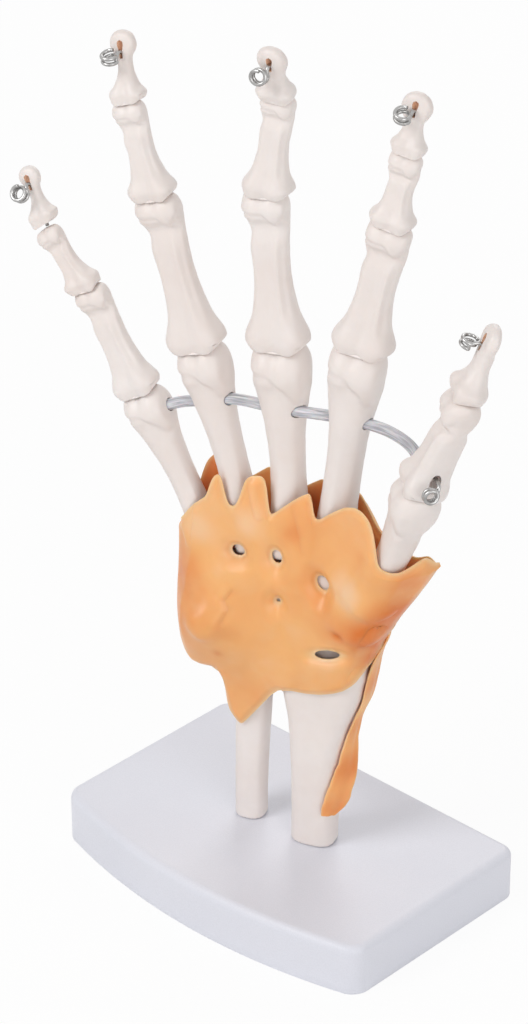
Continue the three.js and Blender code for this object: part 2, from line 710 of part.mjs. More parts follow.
// Adds the curl at the thumb's knuckle, which hangs out of an oval hole in the side of the
// bone, and gives the bone with that hole. The hole is given as its half width and length,
// and how far its middle lies below the place where the wire starts.
const KNUCKLE_HOLE = [1.6, 2.7];
const KNUCKLE_HOLE_DROP = 0.5;
function addKnuckleCurl(bone, geometry, place, cupRadius) {
  const sideways = new THREE.Matrix4().makeRotationY(Math.PI / 2);
  const exitY = cupRadius + bone.knuckleCurl.up;
  const inside = [vector(0, exitY, 2.4), vector(0, exitY, 4)];
  const path = curledWire(inside, exitY, bone.base[0], bone.knuckleCurl.tilt);
  const [holeHalf, holeLong] = KNUCKLE_HOLE;
  const hole = new THREE.CylinderGeometry(1, 1, 2 * bone.base[0], 10);
  hole.rotateX(Math.PI / 2);
  hole.scale(holeHalf, holeLong, 0.5);
  hole.translate(0, exitY - KNUCKLE_HOLE_DROP, bone.base[0] * 0.8);
  hole.applyMatrix4(sideways);
  const facing = place.clone().multiply(sideways);
  addPiece('thumb_knuckle_wire', rod(path, WIRE_RADIUS, WIRE_SIDES), STEEL, hand, facing);
  return cut(geometry, hole);
}

// Adds the last bone of a finger, and the wire that comes out through its slot to a curl
function addDistal(name, bone, joint, palm) {
  const place = standOn(joint.centre, directionOf(bone), palm);
  const hinge = joint.hinge.clone().transformDirection(place.clone().invert());
  const cupRadius = joint.headRadius + JOINT_GAP + (bone.slack ?? 0);
  const exitY = cupRadius + bone.length * CURL_SHARE;
  const inside = [
    vector(0, joint.headRadius + WIRE_START, 0),
    vector(0, exitY - 2, 0),
    vector(0, exitY - 1, 0.1),
  ];
  const path = curledWire(inside, exitY, bone.tuft[1], bone.curlTilt);
  const slot = slotTool(exitY - 1.4, cupRadius + bone.length * SLOT_END_SHARE, BORE_RADIUS);
  const shape = distalBone(bone, cupRadius, hinge, path.slice(0, 8), slot);
  const mesh = addPiece(`${name}_phalanx`, shape, BONE, hand, place);
  mesh.userData.turnsAt = joint;
  addPiece(`${name}_wire`, rod(path, WIRE_RADIUS, WIRE_SIDES), STEEL, hand, place);
}

// Builds one finger from its root outwards, each bone on the joint of the one before
function addFinger(name, finger) {
  const turn = radians(finger.facing);
  const palm = vector(Math.sin(turn), -Math.cos(turn), 0);
  let joint = addMetacarpal(name, finger.metacarpal, finger.root, palm);
  for (const kind of ['proximal', 'middle']) {
    if (finger[kind]) {
      joint = addPhalanx(`${name}_${kind}`, finger[kind], joint, palm);
    }
  }
  addDistal(`${name}_distal`, finger.distal, joint, palm);
}

for (const [name, finger] of Object.entries(FINGERS)) {
  addFinger(name, finger);
}
addPiece('metacarpal_cord', rod(cordPath, CORD_RADIUS, CORD_SIDES), CORD);

// Stands up a ring that is drawn as a bone's is: x across, y up and z towards the palm
const upright = (ring) => ring.map((p) => vector(p.x, -p.z, p.y));

// How far the barrel of the near wrist bones stands from the wrist's line
const barrelRadius = (across) => WRIST.radius - WRIST.rounding * (across - WRIST.middle) ** 2;

// Draws a point of a wrist bone back inside the barrel, where it lies below the wrist's line
function insideBarrel(point) {
  const distance = Math.hypot(point.z, point.y);
  const most = barrelRadius(point.x);
  if (point.z >= 0 || distance <= most) {
    return point;
  }
  return vector(point.x, (point.y * most) / distance, (point.z * most) / distance);
}

// The outline through a polygon's corners, rounded, with its sides pulled in by a gap
function roundedOutline(corners, gap, count) {
  const shape = new THREE.Shape(corners.map(([x, y]) => new THREE.Vector2(x, y)));
  shape.closePath();
  const even = shape.getSpacedPoints(count).slice(0, count);
  const points = even.map((p, k) => {
    const beside = even[(k + 1) % count].clone().add(even[(k + count - 1) % count]);
    return p.clone().lerp(beside.divideScalar(2), 0.4);
  });
  const middle = points.reduce((sum, p) => sum.add(p), new THREE.Vector2()).divideScalar(count);
  return points.map((p) => {
    const reach = p.distanceTo(middle);
    const drawn = middle.clone().lerp(p, (reach - gap) / reach);
    return [drawn.x, drawn.y];
  });
}

// A pebble-shaped wrist bone: its outline, rounded off towards the back and the palm. The
// profile gives its size at shares of its depth.
const PEBBLE_PROFILE = [[0, 0.66], [0.12, 0.92], [0.34, 1], [0.7, 1], [0.9, 0.9], [1, 0.62]];
function wristBone({ corners, back, palm }) {
  const outline = roundedOutline(corners, WRIST_BONE_GAP, WRIST_BONE_SIDES);
  const rings = PEBBLE_PROFILE.map(([share, scale]) => {
    const level = back + (palm - back) * share;
    const ring = outline.map(([x, y]) => spot({ across: x, palm: level, up: y }));
    const middle = middleOf(ring);
    return ring.map((p) => insideBarrel(middle.clone().lerp(p, scale)));
  });
  return skin(rings);
}

for (const [name, shape] of Object.entries(WRIST_BONES)) {
  bones.push(addPiece(name, wristBone(shape), BONE));
}
const pebble = new THREE.SphereGeometry(1, SIDES, 8);
pebble.scale(...PISIFORM.half);
pebble.translate(...spot(PISIFORM).toArray());
bones.push(addPiece('pisiform', geometryOf(solid(pebble)), BONE));

// A forearm bone, from the stand to a hollow end that follows the barrel of wrist bones
function forearmBone(sections, wristGap) {
  const foot = STAND_HEIGHT + GAP - WRIST_HEIGHT;
  const last = sections.at(-1);
  const squareAt = (up) => (up > foot / 2 ? 2.8 : 2.3);
  const rings = sections.map(({ up = foot, across, palm, half, depth }) =>
    upright(section(up, half, depth, depth, squareAt(up), across, palm)));
  const follow = (scale, lift) => {
    const depth = last.depth * scale;
    const ring = section(0, last.half * scale, depth, depth, squareAt(0), last.across, last.palm);
    return ring.map((p) => {
      const reach = barrelRadius(p.x) + wristGap;
      return vector(p.x, -p.z, -Math.sqrt(Math.max(reach ** 2 - p.z ** 2, 0)) - lift);
    });
  };
  rings.push(follow(0.97, FOREARM_RIM), follow(0.86, 0), follow(0.5, 0));
  const low = -Math.sqrt((barrelRadius(last.across) + wristGap) ** 2 - last.palm ** 2);
  return skin(rings, { last: vector(last.across, -last.palm, low) });
}

// The round hole that a stand screw bites into, up through the foot of a forearm bone
const screwSpot = ([foot]) => spot({ across: foot.across, palm: foot.palm, up: -WRIST_HEIGHT });
function upCylinder(place, radius, fromZ, toZ, sides = 12) {
  const tool = new THREE.CylinderGeometry(radius, radius, toZ - fromZ, sides);
  tool.rotateX(Math.PI / 2);
  tool.translate(place.x, place.y, place.z + (fromZ + toZ) / 2);
  return tool;
}

const forearm = { radius: [RADIUS_SECTIONS, WRIST_GAP], ulna: [ULNA_SECTIONS, ULNA_RECESS] };
const screwTop = STAND_HEIGHT + SCREW_BITE;
for (const [name, [sections, wristGap]] of Object.entries(forearm)) {
  const hole = upCylinder(screwSpot(sections), SCREW_RADIUS + GAP, 0, screwTop + 1);
  bones.push(addPiece(name, cut(forearmBone(sections, wristGap), hole), BONE));
  const screwLength = screwTop - BOSS_FOOT + SCREW_HEAD_HEIGHT;
  const profile = [
    [0, 0],
    [SCREW_HEAD_RADIUS, 0],
    [SCREW_HEAD_RADIUS, SCREW_HEAD_HEIGHT],
    [SCREW_RADIUS, SCREW_HEAD_HEIGHT],
    [SCREW_RADIUS, screwLength - SCREW_POINT],
    [0, screwLength],
  ];
  const screw = new THREE.LatheGeometry(profile.map(([x, y]) => new THREE.Vector2(x, y)), 12);
  screw.rotateX(Math.PI / 2);
  const head = screwSpot(sections);
  screw.translate(head.x, head.y, head.z + BOSS_FOOT - SCREW_HEAD_HEIGHT - GAP);
  addPiece(`${name}_stand_screw`, geometryOf(solid(screw)), STEEL);
}

// The stand's outline, drawn in by an inset
const CORNER_STEP = 30;
const BOW_STEPS = 8;
function standOutline(inset) {
  const half = STAND_LENGTH / 2 - inset;
  const deep = STAND_WIDTH / 2 - inset;
  const corner = Math.max(STAND_CORNER - inset, 1);
  const points = [];
  const corners = [[1, 1, 0], [-1, 1, 90], [-1, -1, 180], [1, -1, 270]];
  for (const [signX, signY, from] of corners) {
    for (let degrees = from; degrees <= from + 90; degrees += CORNER_STEP) {
      const angle = radians(degrees);
      const x = signX * (half - corner) + corner * Math.cos(angle);
      points.push([x, signY * (deep - corner) + corner * Math.sin(angle)]);
    }
    if (from === 180) {
      for (let step = 1; step < BOW_STEPS; step++) {
        points.push([(half - corner) * ((2 * step) / BOW_STEPS - 1), -deep]);
      }
    }
  }
  return points.map(([x, y]) => {
    const front = THREE.MathUtils.smoothstep(-y, 0, STAND_WIDTH / 2 - STAND_CORNER);
    return [x, y - STAND_BOW * front * (1 - (x / (STAND_LENGTH / 2)) ** 2)];
  });
}
const standRing = (inset, z) => standOutline(inset).map(([x, y]) => vector(x, y, z));

function standShell() {
  const lip = COVER_THICKNESS + GAP;
  const inner = STAND_WALL + COVER_LEDGE;
  const round = [90, 60, 30, 0].map((degrees) => {
    const inset = STAND_FILLET * (1 - Math.cos(radians(degrees)));
    return standRing(inset, STAND_HEIGHT - STAND_FILLET * (1 - Math.sin(radians(degrees))));
  });
  const shell = skin([
    ...round,
    standRing(0, 0),
    standRing(STAND_WALL, 0),
    standRing(STAND_WALL, lip),
    standRing(inner, lip),
    standRing(inner, STAND_HEIGHT - STAND_TOP),
  ]);
  const places = [RADIUS_SECTIONS, ULNA_SECTIONS].map((sections) => hand.localToWorld(screwSpot(sections)));
  const bossTop = STAND_HEIGHT - STAND_TOP / 2;
  const bosses = places.map((place) => upCylinder(place, BOSS_RADIUS, BOSS_FOOT, bossTop, 16));
  const holes = places.map((place) => upCylinder(place, SCREW_RADIUS + GAP, 0, STAND_HEIGHT + 1));
  return cut(join(shell, ...bosses), ...holes);
}

hand.updateMatrixWorld(true);
addPiece('stand_shell', standShell(), STAND, model);
const coverInset = STAND_WALL + GAP;
const cover = skin([standRing(coverInset, 0), standRing(coverInset, COVER_THICKNESS)]);
addPiece('stand_cover', cover, STAND, model);

// Looks straight at the hand from its palm or its back and gives how far out the bones
// reach there, or nothing where no bone lies
const seenFrom = new THREE.Raycaster();
function boneReach(across, up, side) {
  const from = hand.localToWorld(spot({ across, palm: side * 60, up }));
  const to = hand.localToWorld(spot({ across, palm: 0, up }));
  seenFrom.set(from, to.clone().sub(from).normalize());
  const [hit] = seenFrom.intersectObjects(underSheets, false);
  return hit ? 60 - hit.distance : -Infinity;
}

// Measures the bones once for each cell of a fine grid, and gives the furthest reach round a
// place, so that a sheet clears what lies between its own points
const PROBE_CELLS = [-2, -1, 0, 1, 2];
function reachMap(side) {
  const known = new Map();
  const reachAt = (column, row) => {
    const key = `${column},${row}`;
    if (!known.has(key)) {
      known.set(key, boneReach(column * PROBE_STEP, row * PROBE_STEP, side));
    }
    return known.get(key);
  };
  return (across, up) => {
    const [column, row] = [Math.round(across / PROBE_STEP), Math.round(up / PROBE_STEP)];
    const around = PROBE_CELLS.flatMap((a) => PROBE_CELLS.map((b) => reachAt(column + a, row + b)));
    return Math.max(...around);
  };
}

// Lifts what lies lower than the points around it, which fills dips and never cuts in
function fillDips(grid) {
  const before = grid.map((column) => column.map((point) => point.out));
  for (let i = 1; i < SHEET_COLUMNS; i++) {
    for (let j = 1; j < SHEET_ROWS; j++) {
      const mean = (before[i - 1][j] + before[i + 1][j] + before[i][j - 1] + before[i][j + 1]) / 4;
      grid[i][j].out = Math.max(before[i][j], mean);
    }
  }
}

// Where one sheet lies over the bones: it bulges from its seam, and stands off every bone
function sheetGrid(side, topOf, bottomOf, bulge) {
  const reach = reachMap(side);
  const lerp = THREE.MathUtils.lerp;
  const grid = [];
  for (let i = 0; i <= SHEET_COLUMNS; i++) {
    const across = lerp(SHEET_LEFT, SHEET_TOP.at(-1)[0], i / SHEET_COLUMNS);
    const column = [];
    for (let j = 0; j <= SHEET_ROWS; j++) {
      const up = lerp(bottomOf(across), topOf(across), j / SHEET_ROWS);
      const middle = (SHEET_LEFT + along(SHEET_RIGHT, up)) / 2;
      const share = Math.min(Math.abs(across - middle) / (middle - SHEET_LEFT), 1);
      const seam = side * along(SHEET_SEAM, across) + GAP / 2;
      const bulged = seam + along(bulge, up) * (1 - share ** 3) ** 0.6;
      column.push({ across, up, out: Math.max(bulged, reach(across, up) + 2 * GAP) });
    }
    grid.push(column);
  }
  fillDips(grid);
  fillDips(grid);
  return grid;
}

// Gives a grid of places its thickness, as one closed body
function ligamentSheet(side, topOf, bottomOf, bulge) {
  const grid = sheetGrid(side, topOf, bottomOf, bulge);
  const layer = (lift) => grid.flat().map(({ across, up, out }) =>
    spot({ across, palm: side * (out + lift), up }));
  const points = [...layer(0), ...layer(SHEET_THICKNESS)];
  const faces = [];
  const wide = SHEET_ROWS + 1;
  const outer = wide * (SHEET_COLUMNS + 1);
  const quad = (a, b, c, d) => faces.push(a, b, c, a, c, d);
  for (let i = 0; i < SHEET_COLUMNS; i++) {
    for (let j = 0; j < SHEET_ROWS; j++) {
      const at = i * wide + j;
      quad(at, at + wide, at + wide + 1, at + 1);
      quad(outer + at, outer + at + 1, outer + at + wide + 1, outer + at + wide);
    }
    const [low, high] = [i * wide, i * wide + SHEET_ROWS];
    quad(low, outer + low, outer + low + wide, low + wide);
    quad(high, high + wide, outer + high + wide, outer + high);
  }
  for (let j = 0; j < SHEET_ROWS; j++) {
    const [left, right] = [j, SHEET_COLUMNS * wide + j];
    quad(left, left + 1, outer + left + 1, outer + left);
    quad(right, outer + right, outer + right + 1, right + 1);
  }
  return bodyOf(points, faces);
}

// A hole right through the palm-side sheet
function sheetHole({ across, up, half, turn }) {
  const tool = new THREE.CylinderGeometry(1, 1, 30, 8);
  tool.scale(half[0], 1, half[1]);
  tool.rotateY(radians(turn));
  const middle = spot({ across, palm: 17, up });
  tool.translate(middle.x, middle.y, middle.z);
  return tool;
}

// The strap is a flat band: each section lies level, its width square to the way it faces.
// One section runs round it in shares of its half width and of its thickness.
const STRAP_SECTION = [
  [-1, -0.35], [-0.6, -0.5], [0.6, -0.5], [1, -0.35], [1, 0.35], [0.6, 0.5], [-0.6, 0.5], [-1, 0.35],
];
function strap() {
  const rings = STRAP.map(({ up, across, palm, half, facing }) => {
    const out = vector(Math.cos(radians(facing)), -Math.sin(radians(facing)), 0);
    const wide = vector(-out.y, out.x, 0);
    return STRAP_SECTION.map(([w, t]) => spot({ across, palm, up })
      .addScaledVector(wide, half * w)
      .addScaledVector(out, SHEET_THICKNESS * t));
  });
  return skin(rings);
}

const underSheets = bones.filter((mesh) => !mesh.name.includes('phalanx'));
hand.updateMatrixWorld(true);
const palmSheet = ligamentSheet(1, (x) => along(SHEET_TOP, x), (x) => along(SHEET_BOTTOM, x), PALM_BULGE);
const backSheet = ligamentSheet(-1, (x) => along(BACK_TOP, x), (x) => along(BACK_BOTTOM, x), BACK_BULGE);
addPiece('palmar_ligament', cut(palmSheet, ...SHEET_HOLES.map(sheetHole)), LIGAMENT);
addPiece('dorsal_ligament', join(backSheet, strap()), LIGAMENT);

export default model;
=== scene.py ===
# %% [markdown]
# # A posable model of a hand's bones
# This lesson dresses a hand skeleton that teachers bend and pose: smooth ivory bones on steel
# wires, a grey cord through the palm, orange rubber ligaments round the wrist and a white
# moulded stand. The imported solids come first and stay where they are. Every piece below is
# made in their frame, so nothing has to be fitted afterwards.

# %% The frame
import math

import bpy
import numpy as np
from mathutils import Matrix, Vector, noise
from mathutils.bvhtree import BVHTree


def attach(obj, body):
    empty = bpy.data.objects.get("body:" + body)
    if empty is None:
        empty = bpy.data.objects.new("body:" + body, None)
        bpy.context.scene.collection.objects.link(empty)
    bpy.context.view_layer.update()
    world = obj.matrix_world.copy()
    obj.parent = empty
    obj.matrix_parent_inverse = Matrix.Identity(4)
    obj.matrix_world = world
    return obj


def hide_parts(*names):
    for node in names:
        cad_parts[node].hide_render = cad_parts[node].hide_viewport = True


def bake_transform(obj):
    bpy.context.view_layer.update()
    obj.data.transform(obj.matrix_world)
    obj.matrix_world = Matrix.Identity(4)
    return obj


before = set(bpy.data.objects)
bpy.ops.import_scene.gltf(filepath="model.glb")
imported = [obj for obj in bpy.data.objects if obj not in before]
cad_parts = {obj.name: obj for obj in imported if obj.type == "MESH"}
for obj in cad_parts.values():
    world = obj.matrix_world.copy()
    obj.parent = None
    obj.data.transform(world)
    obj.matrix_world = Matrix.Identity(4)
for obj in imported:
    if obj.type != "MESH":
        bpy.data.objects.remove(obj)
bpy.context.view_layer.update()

# %% [markdown]
# ## The camera
# The hand was seen from its thumb side and a little above, by a long lens. A camera can be
# placed by eye, but here its distance, lens and shift were worked out from points of the hand
# whose places are known, so the render and the photograph lie on each other. The camera
# looks at a point over the stand, and the shift slides the picture without turning the view.

# %% The camera
AZIMUTH, ELEVATION = math.radians(43.3), math.radians(30.113)
DISTANCE, FOCAL_PIXELS = 1.06154, 3705.3
SLIDE_LEFT, SLIDE_UP = 25.019, 8.129
SENSOR, PICTURE_HIGH = 36, 1024
TARGET = Vector((0, 0, 0.12))


def in_scene(name, data):
    """A new object for some data, linked to the scene."""
    made = bpy.data.objects.new(name, data)
    bpy.context.scene.collection.objects.link(made)
    return made


camera_data = bpy.data.cameras.new("camera")
camera_data.sensor_width = SENSOR
camera_data.lens = SENSOR * FOCAL_PIXELS / PICTURE_HIGH
camera_data.shift_x = -SLIDE_LEFT / PICTURE_HIGH
camera_data.shift_y = SLIDE_UP / PICTURE_HIGH
camera = in_scene("camera", camera_data)
back = Vector((
    math.sin(AZIMUTH) * math.cos(ELEVATION),
    -math.cos(AZIMUTH) * math.cos(ELEVATION),
    math.sin(ELEVATION),
))
camera.location = TARGET + back * DISTANCE
camera.rotation_euler = back.to_track_quat("Z", "Y").to_euler()
bpy.context.scene.camera = camera
print("lens", round(camera_data.lens, 1), "mm")

# %% [markdown]
# ## Shorthand for nodes
# A material is a small program, drawn as boxes and links. Built by hand in Python it gets
# long, so one class wraps a socket and lets Python's own plus, minus and times add the Math
# nodes, and one method adds every other kind of node.

# %% Shorthand for nodes
class Signal:
    """One output socket, which Python's operators can work on."""

    def __init__(self, nodes, socket):
        self.nodes = nodes
        self.socket = socket

    def math(self, operation, first, second=0.0):
        return self.nodes.add("ShaderNodeMath", {0: first, 1: second}, operation=operation)

    def __add__(self, other):
        return self.math("ADD", self, other)

    def __sub__(self, other):
        return self.math("SUBTRACT", self, other)

    def __rsub__(self, other):
        return self.math("SUBTRACT", other, self)

    def __mul__(self, other):
        return self.math("MULTIPLY", self, other)

    def most(self, other):
        return self.math("MAXIMUM", self, other)

    __radd__ = __add__
    __rmul__ = __mul__


class Nodes:
    """The node tree of a material or a world."""

    def __init__(self, tree):
        self.tree = tree

    def add(self, kind, sockets=None, output=0, **settings):
        """A new node with these settings and inputs. Gives back one of its outputs."""
        node = self.tree.nodes.new(kind)
        for key, value in settings.items():
            if key == "stops":
                self.set_stops(node.color_ramp.elements, value)
            else:
                setattr(node, key, value)
        for key, value in (sockets or {}).items():
            self.feed(node.inputs[key], value)
        return Signal(self, node.outputs[output])

    def set_stops(self, elements, stops):
        while len(elements) < len(stops):
            elements.new(0.5)
        for element, (place, grey) in zip(elements, stops):
            element.position = place
            element.color = (grey, grey, grey, 1)

    def feed(self, socket, value):
        if isinstance(value, Signal):
            self.tree.links.new(value.socket, socket)
        else:
            socket.default_value = value

    def mix(self, share, first, second):
        return self.add("ShaderNodeMix", {0: share, 6: first, 7: second}, 2, data_type="RGBA")

    def places(self):
        return self.add("ShaderNodeTexCoord", output=3)

    def stored(self, name, output):
        """What the mesh stores for each point under a name."""
        return self.add("ShaderNodeAttribute", output=output, attribute_name=name)

    def grain(self, where, per_metre, detail=3.0, distortion=0.0):
        return self.add("ShaderNodeTexNoise", {"Vector": where, "Scale": per_metre,
                                               "Detail": detail, "Distortion": distortion})

    def ramp(self, share, *stops):
        return self.add("ShaderNodeValToRGB", {0: share}, stops=stops)

    def patches(self, where, per_metre, detail, low, high, distortion=0.0):
        """Noise cut into patches: 0 below one value and 1 above the other."""
        return self.ramp(self.grain(where, per_metre, detail, distortion), (low, 0), (high, 1))


def colour(*shown):
    """A colour as a screen shows it, 0 to 255, turned into the linear one that shaders use."""
    shares = [share / 255 for share in shown]
    return (*[s / 12.92 if s <= 0.04045 else ((s + 0.055) / 1.055) ** 2.4 for s in shares], 1)


def new_finish(name, **constants):
    """A material whose shader has these constants, its tree and its shader."""
    material = bpy.data.materials.new(name)
    material.use_nodes = True
    shader = material.node_tree.nodes["Principled BSDF"]
    for socket, value in constants.items():
        shader.inputs[socket.replace("_", " ")].default_value = value
    return material, Nodes(material.node_tree), shader


def set_skin(nodes, shader, base, roughness, height, distance, strength):
    """Feeds a shader its colour, its roughness and its bumps."""
    bump = nodes.add("ShaderNodeBump", {"Height": height, "Distance": distance,
                                        "Strength": strength})
    for name, value in (("Base Color", base), ("Roughness", roughness), ("Normal", bump)):
        nodes.feed(shader.inputs[name], value)


# %% [markdown]
# ## Light and floor
# The hand stands on white, in soft light from the upper left. A brighter lamp would wash the
# pale bones out, so the lamps stay plain, and the white comes from what the camera sees: the
# world and the floor look white to the camera's own rays and to reflections, while the floor
# still takes a faint shadow.

# %% Light and floor
LAMPS = [("key", (-0.35, -1.1, 1.1), 0.7, 8.8), ("fill", (1.3, -0.5, 0.5), 0.9, 5.6),
         ("rim", (-0.6, 1.1, 0.9), 0.8, 4.5)]
FLOOR_WHITE = 0.93  # the share of plain white in what the camera sees of the floor


def looked_at(nodes):
    """1 for the camera's own rays and for rays that it sees in or through something."""
    path = nodes.tree.nodes.new("ShaderNodeLightPath")
    names = ("Is Camera Ray", "Is Glossy Ray", "Is Transmission Ray")
    seen, glossy, through = (Signal(nodes, path.outputs[name]) for name in names)
    return seen.most(glossy).most(through)


def shining(nodes, kind, strength=1.0):
    return nodes.add(kind, {"Color": (1, 1, 1, 1), "Strength": strength})


def set_surface(nodes, output, share, first, second):
    """Feeds an output two shaders, mixed by a share."""
    mix = nodes.add("ShaderNodeMixShader", {0: share, 1: first, 2: second})
    nodes.feed(output.inputs["Surface"], mix)


world = bpy.data.worlds.new("studio")
world.use_nodes = True
bpy.context.scene.world = world
bpy.context.scene.view_settings.view_transform = "Standard"
sky = Nodes(world.node_tree)
sky.tree.nodes.clear()
set_surface(sky, sky.tree.nodes.new("ShaderNodeOutputWorld"), looked_at(sky),
            shining(sky, "ShaderNodeBackground", 0.5), shining(sky, "ShaderNodeBackground"))

for name, place, size, watts in LAMPS:
    lamp = bpy.data.lights.new(name, "AREA")
    lamp.size = size
    lamp.energy = watts
    lamp_object = in_scene(name, lamp)
    lamp_object.location = place
    lamp_object.rotation_euler = (Vector(place) - TARGET).to_track_quat("Z", "Y").to_euler()

floor_mesh = bpy.data.meshes.new("floor")
floor_mesh.from_pydata([(-6, -6, 0), (6, -6, 0), (6, 6, 0), (-6, 6, 0)], [], [(0, 1, 2, 3)])
floor = in_scene("floor", floor_mesh)
floor_finish, ground, ground_shader = new_finish(
    "floor_white", Base_Color=(0.86, 0.86, 0.86, 1), Roughness=0.9)
set_surface(ground, ground.tree.nodes["Material Output"], looked_at(ground) * FLOOR_WHITE,
            Signal(ground, ground_shader.outputs[0]), shining(ground, "ShaderNodeEmission"))
floor_mesh.materials.append(floor_finish)
print("lamps:", len(LAMPS), "and a floor")

# %% [markdown]
# ## The finishes
# The bones are cast in a hard ivory plastic: nearly white, a little pink, satin, with faint
# clouds of tone and the slight unevenness of a cast skin. A picture could be wrapped on, but
# noise that is worked out from a point's own place needs no seams and stays sharp up close.

# %% Bone, stand and slot plastic
def ivory(name, base, deep, roughness):
    """Cast plastic: clouds of a deeper tone, faint specks and an uneven skin."""
    material, nodes, shader = new_finish(
        name, Subsurface_Weight=0.06, Subsurface_Scale=0.003, IOR=1.46)
    shader.inputs["Subsurface Radius"].default_value = (1.0, 0.6, 0.4)
    where = nodes.places()
    clouds = nodes.patches(where, 30, 3, 0.36, 0.68)
    fine = nodes.patches(where, 300, 3, 0.4, 0.66)
    tone = nodes.mix(fine * 0.07, nodes.mix(clouds * 0.6, base, deep), colour(216, 200, 190))
    height = nodes.grain(where, 260, 4) * 0.7 + nodes.grain(where, 1500, 2) * 0.3
    set_skin(nodes, shader, tone, roughness + clouds * 0.07 + fine * 0.05, height, 0.00014, 0.4)
    return material


bone_finish = ivory("bone_ivory", colour(234, 226, 222), colour(228, 215, 208), 0.38)
# The slot's walls: a warmer, darker tone than the bone, which is painted shade for the groove
slot_shade_finish = ivory("slot_painted_shade", colour(240, 206, 180), colour(230, 184, 152), 0.5)


def moulded():
    """The stand's white plastic, a little bluish and finely pitted."""
    material, nodes, shader = new_finish("stand_white", Specular_IOR_Level=0.4, IOR=1.48)
    where = nodes.places()
    clouds = nodes.patches(where, 22, 3, 0.35, 0.7)
    pits = nodes.patches(where, 2600, 2, 0.42, 0.6)
    tone = nodes.mix(clouds * 0.5, colour(226, 227, 235), colour(221, 222, 231))
    tone = nodes.mix(pits * 0.12, tone, colour(196, 196, 204))
    set_skin(nodes, shader, tone, 0.34 + pits * 0.12 + clouds * 0.05,
             nodes.grain(where, 2600, 2), 0.00006, 0.45)
    return material


stand_finish = moulded()

# %% [markdown]
# ## Steel and cord
# The wires are drawn steel, so their fine scratches run lengthwise. The cord is a grey,
# slightly see-through rubber that was drawn through a die and shows the same. Both need
# noise that is stretched along the piece, round every bend, which Object coordinates can't
# give. The tube maker below stores for each point where it lies round and along the tube.

# %% Steel and cord
def stretched(nodes, along):
    """The tube's own coordinates, with the lengthwise one scaled."""
    sockets = {"Vector": nodes.stored("strand", 1), "Scale": (1, 1, along)}
    return nodes.add("ShaderNodeMapping", sockets)


def drawn_steel():
    """Steel with fine lengthwise streaks and a few darker spots."""
    material, nodes, shader = new_finish("wire_steel", Metallic=1.0)
    streaks = nodes.grain(stretched(nodes, 0.12), 5, 4)
    spots = nodes.patches(nodes.places(), 900, 3, 0.5, 0.72)
    tone = nodes.mix(spots * 0.5, colour(176, 175, 174), colour(128, 124, 120))
    set_skin(nodes, shader, tone, 0.2 + streaks * 0.16 + spots * 0.14, streaks, 0.00006, 0.5)
    return material


def drawn_cord():
    """Grey rubber with long pale streaks, which lets some light in."""
    material, nodes, shader = new_finish(
        "cord_grey", Subsurface_Weight=0.25, Subsurface_Scale=0.002, IOR=1.45)
    streaks = nodes.patches(stretched(nodes, 0.05), 3.2, 4, 0.36, 0.66, 0.4)
    fine = nodes.grain(stretched(nodes, 0.2), 12, 3)
    tone = nodes.mix(streaks, colour(166, 167, 174), colour(224, 224, 228))
    set_skin(nodes, shader, tone, 0.26 + fine * 0.18, streaks * 0.7 + fine * 0.3, 0.00025, 0.5)
    return material


steel_finish = drawn_steel()
cord_finish = drawn_cord()
finishes = (bone_finish, slot_shade_finish, stand_finish, steel_finish, cord_finish)
print("finishes:", [finish.name for finish in finishes])

# %% [markdown]
# ## Places on the hand
# The whole hand is measured from the line that the wrist bends about: across towards the
# thumb, towards the palm and up, in millimetres. The hand stands turned by 20 degrees on its
# stand. One function turns its places into the frame.

# %% Places on the hand
HAND_PLACE = np.array([6.0, -1.0, 92.0])
HAND_TURN = math.radians(20)
CREASE = 42  # degrees between two faces from which their edge stays sharp


def xyz(x, y, z):
    """Points from their coordinates, any of which may be one number for all."""
    return np.stack(np.broadcast_arrays(x, y, z), -1).astype(float)


def spot(across, palm, up):
    """A place on the hand, or many, as it stands before it is turned."""
    return xyz(across, -palm, up)


def turned(points, angle):
    """Points turned about an upright line."""
    x, y, z = np.moveaxis(np.asarray(points, float), -1, 0)
    cos, sin = math.cos(angle), math.sin(angle)
    return xyz(x * cos - y * sin, x * sin + y * cos, z)


def to_frame(points):
    """Points of the hand, in mm, as points of the frame, in metres."""
    return (turned(points, HAND_TURN) + HAND_PLACE) * 0.001


def outward(points, faces):
    """The faces, turned round if they point into the body."""
    fans = np.array([(face[0], b, c) for face in faces for b, c in zip(face[1:-1], face[2:])])
    a, b, c = np.moveaxis(np.asarray(points)[fans], 1, 0)
    return faces if np.sum(a * np.cross(b, c)) > 0 else [tuple(reversed(face)) for face in faces]


def skin(rings, loop=False):
    """Joins rings of points into one skin, which closes on itself or on a point at each end."""
    rings = np.asarray(rings, float)
    count, sides = rings.shape[:2]
    points = rings.reshape(-1, 3)
    faces = []
    for ring in range(count if loop else count - 1):
        low, high = ring * sides, (ring + 1) % count * sides
        for side in range(sides):
            beside = (side + 1) % sides
            faces.append((low + side, low + beside, high + beside, high + side))
    if not loop:
        points = np.vstack([points, rings[0].mean(0), rings[-1].mean(0)])
        end = (count - 1) * sides
        for side in range(sides):
            beside = (side + 1) % sides
            faces.append((len(points) - 2, beside, side))
            faces.append((len(points) - 1, end + side, end + beside))
    return points, outward(points, faces)


def joined(bodies):
    """The points and faces of several bodies as those of one."""
    points, faces = [], []
    for more, more_faces in bodies:
        faces += [tuple(k + len(points) for k in face) for face in more_faces]
        points += more.tolist()
    return points, faces


def new_object(name, points, faces, finish):
    """A smooth-shaded object from points of the hand."""
    mesh = bpy.data.meshes.new(name)
    mesh.from_pydata(to_frame(points).tolist(), [], faces)
    mesh.materials.append(finish)
    mesh.shade_smooth()
    return in_scene(name, mesh)


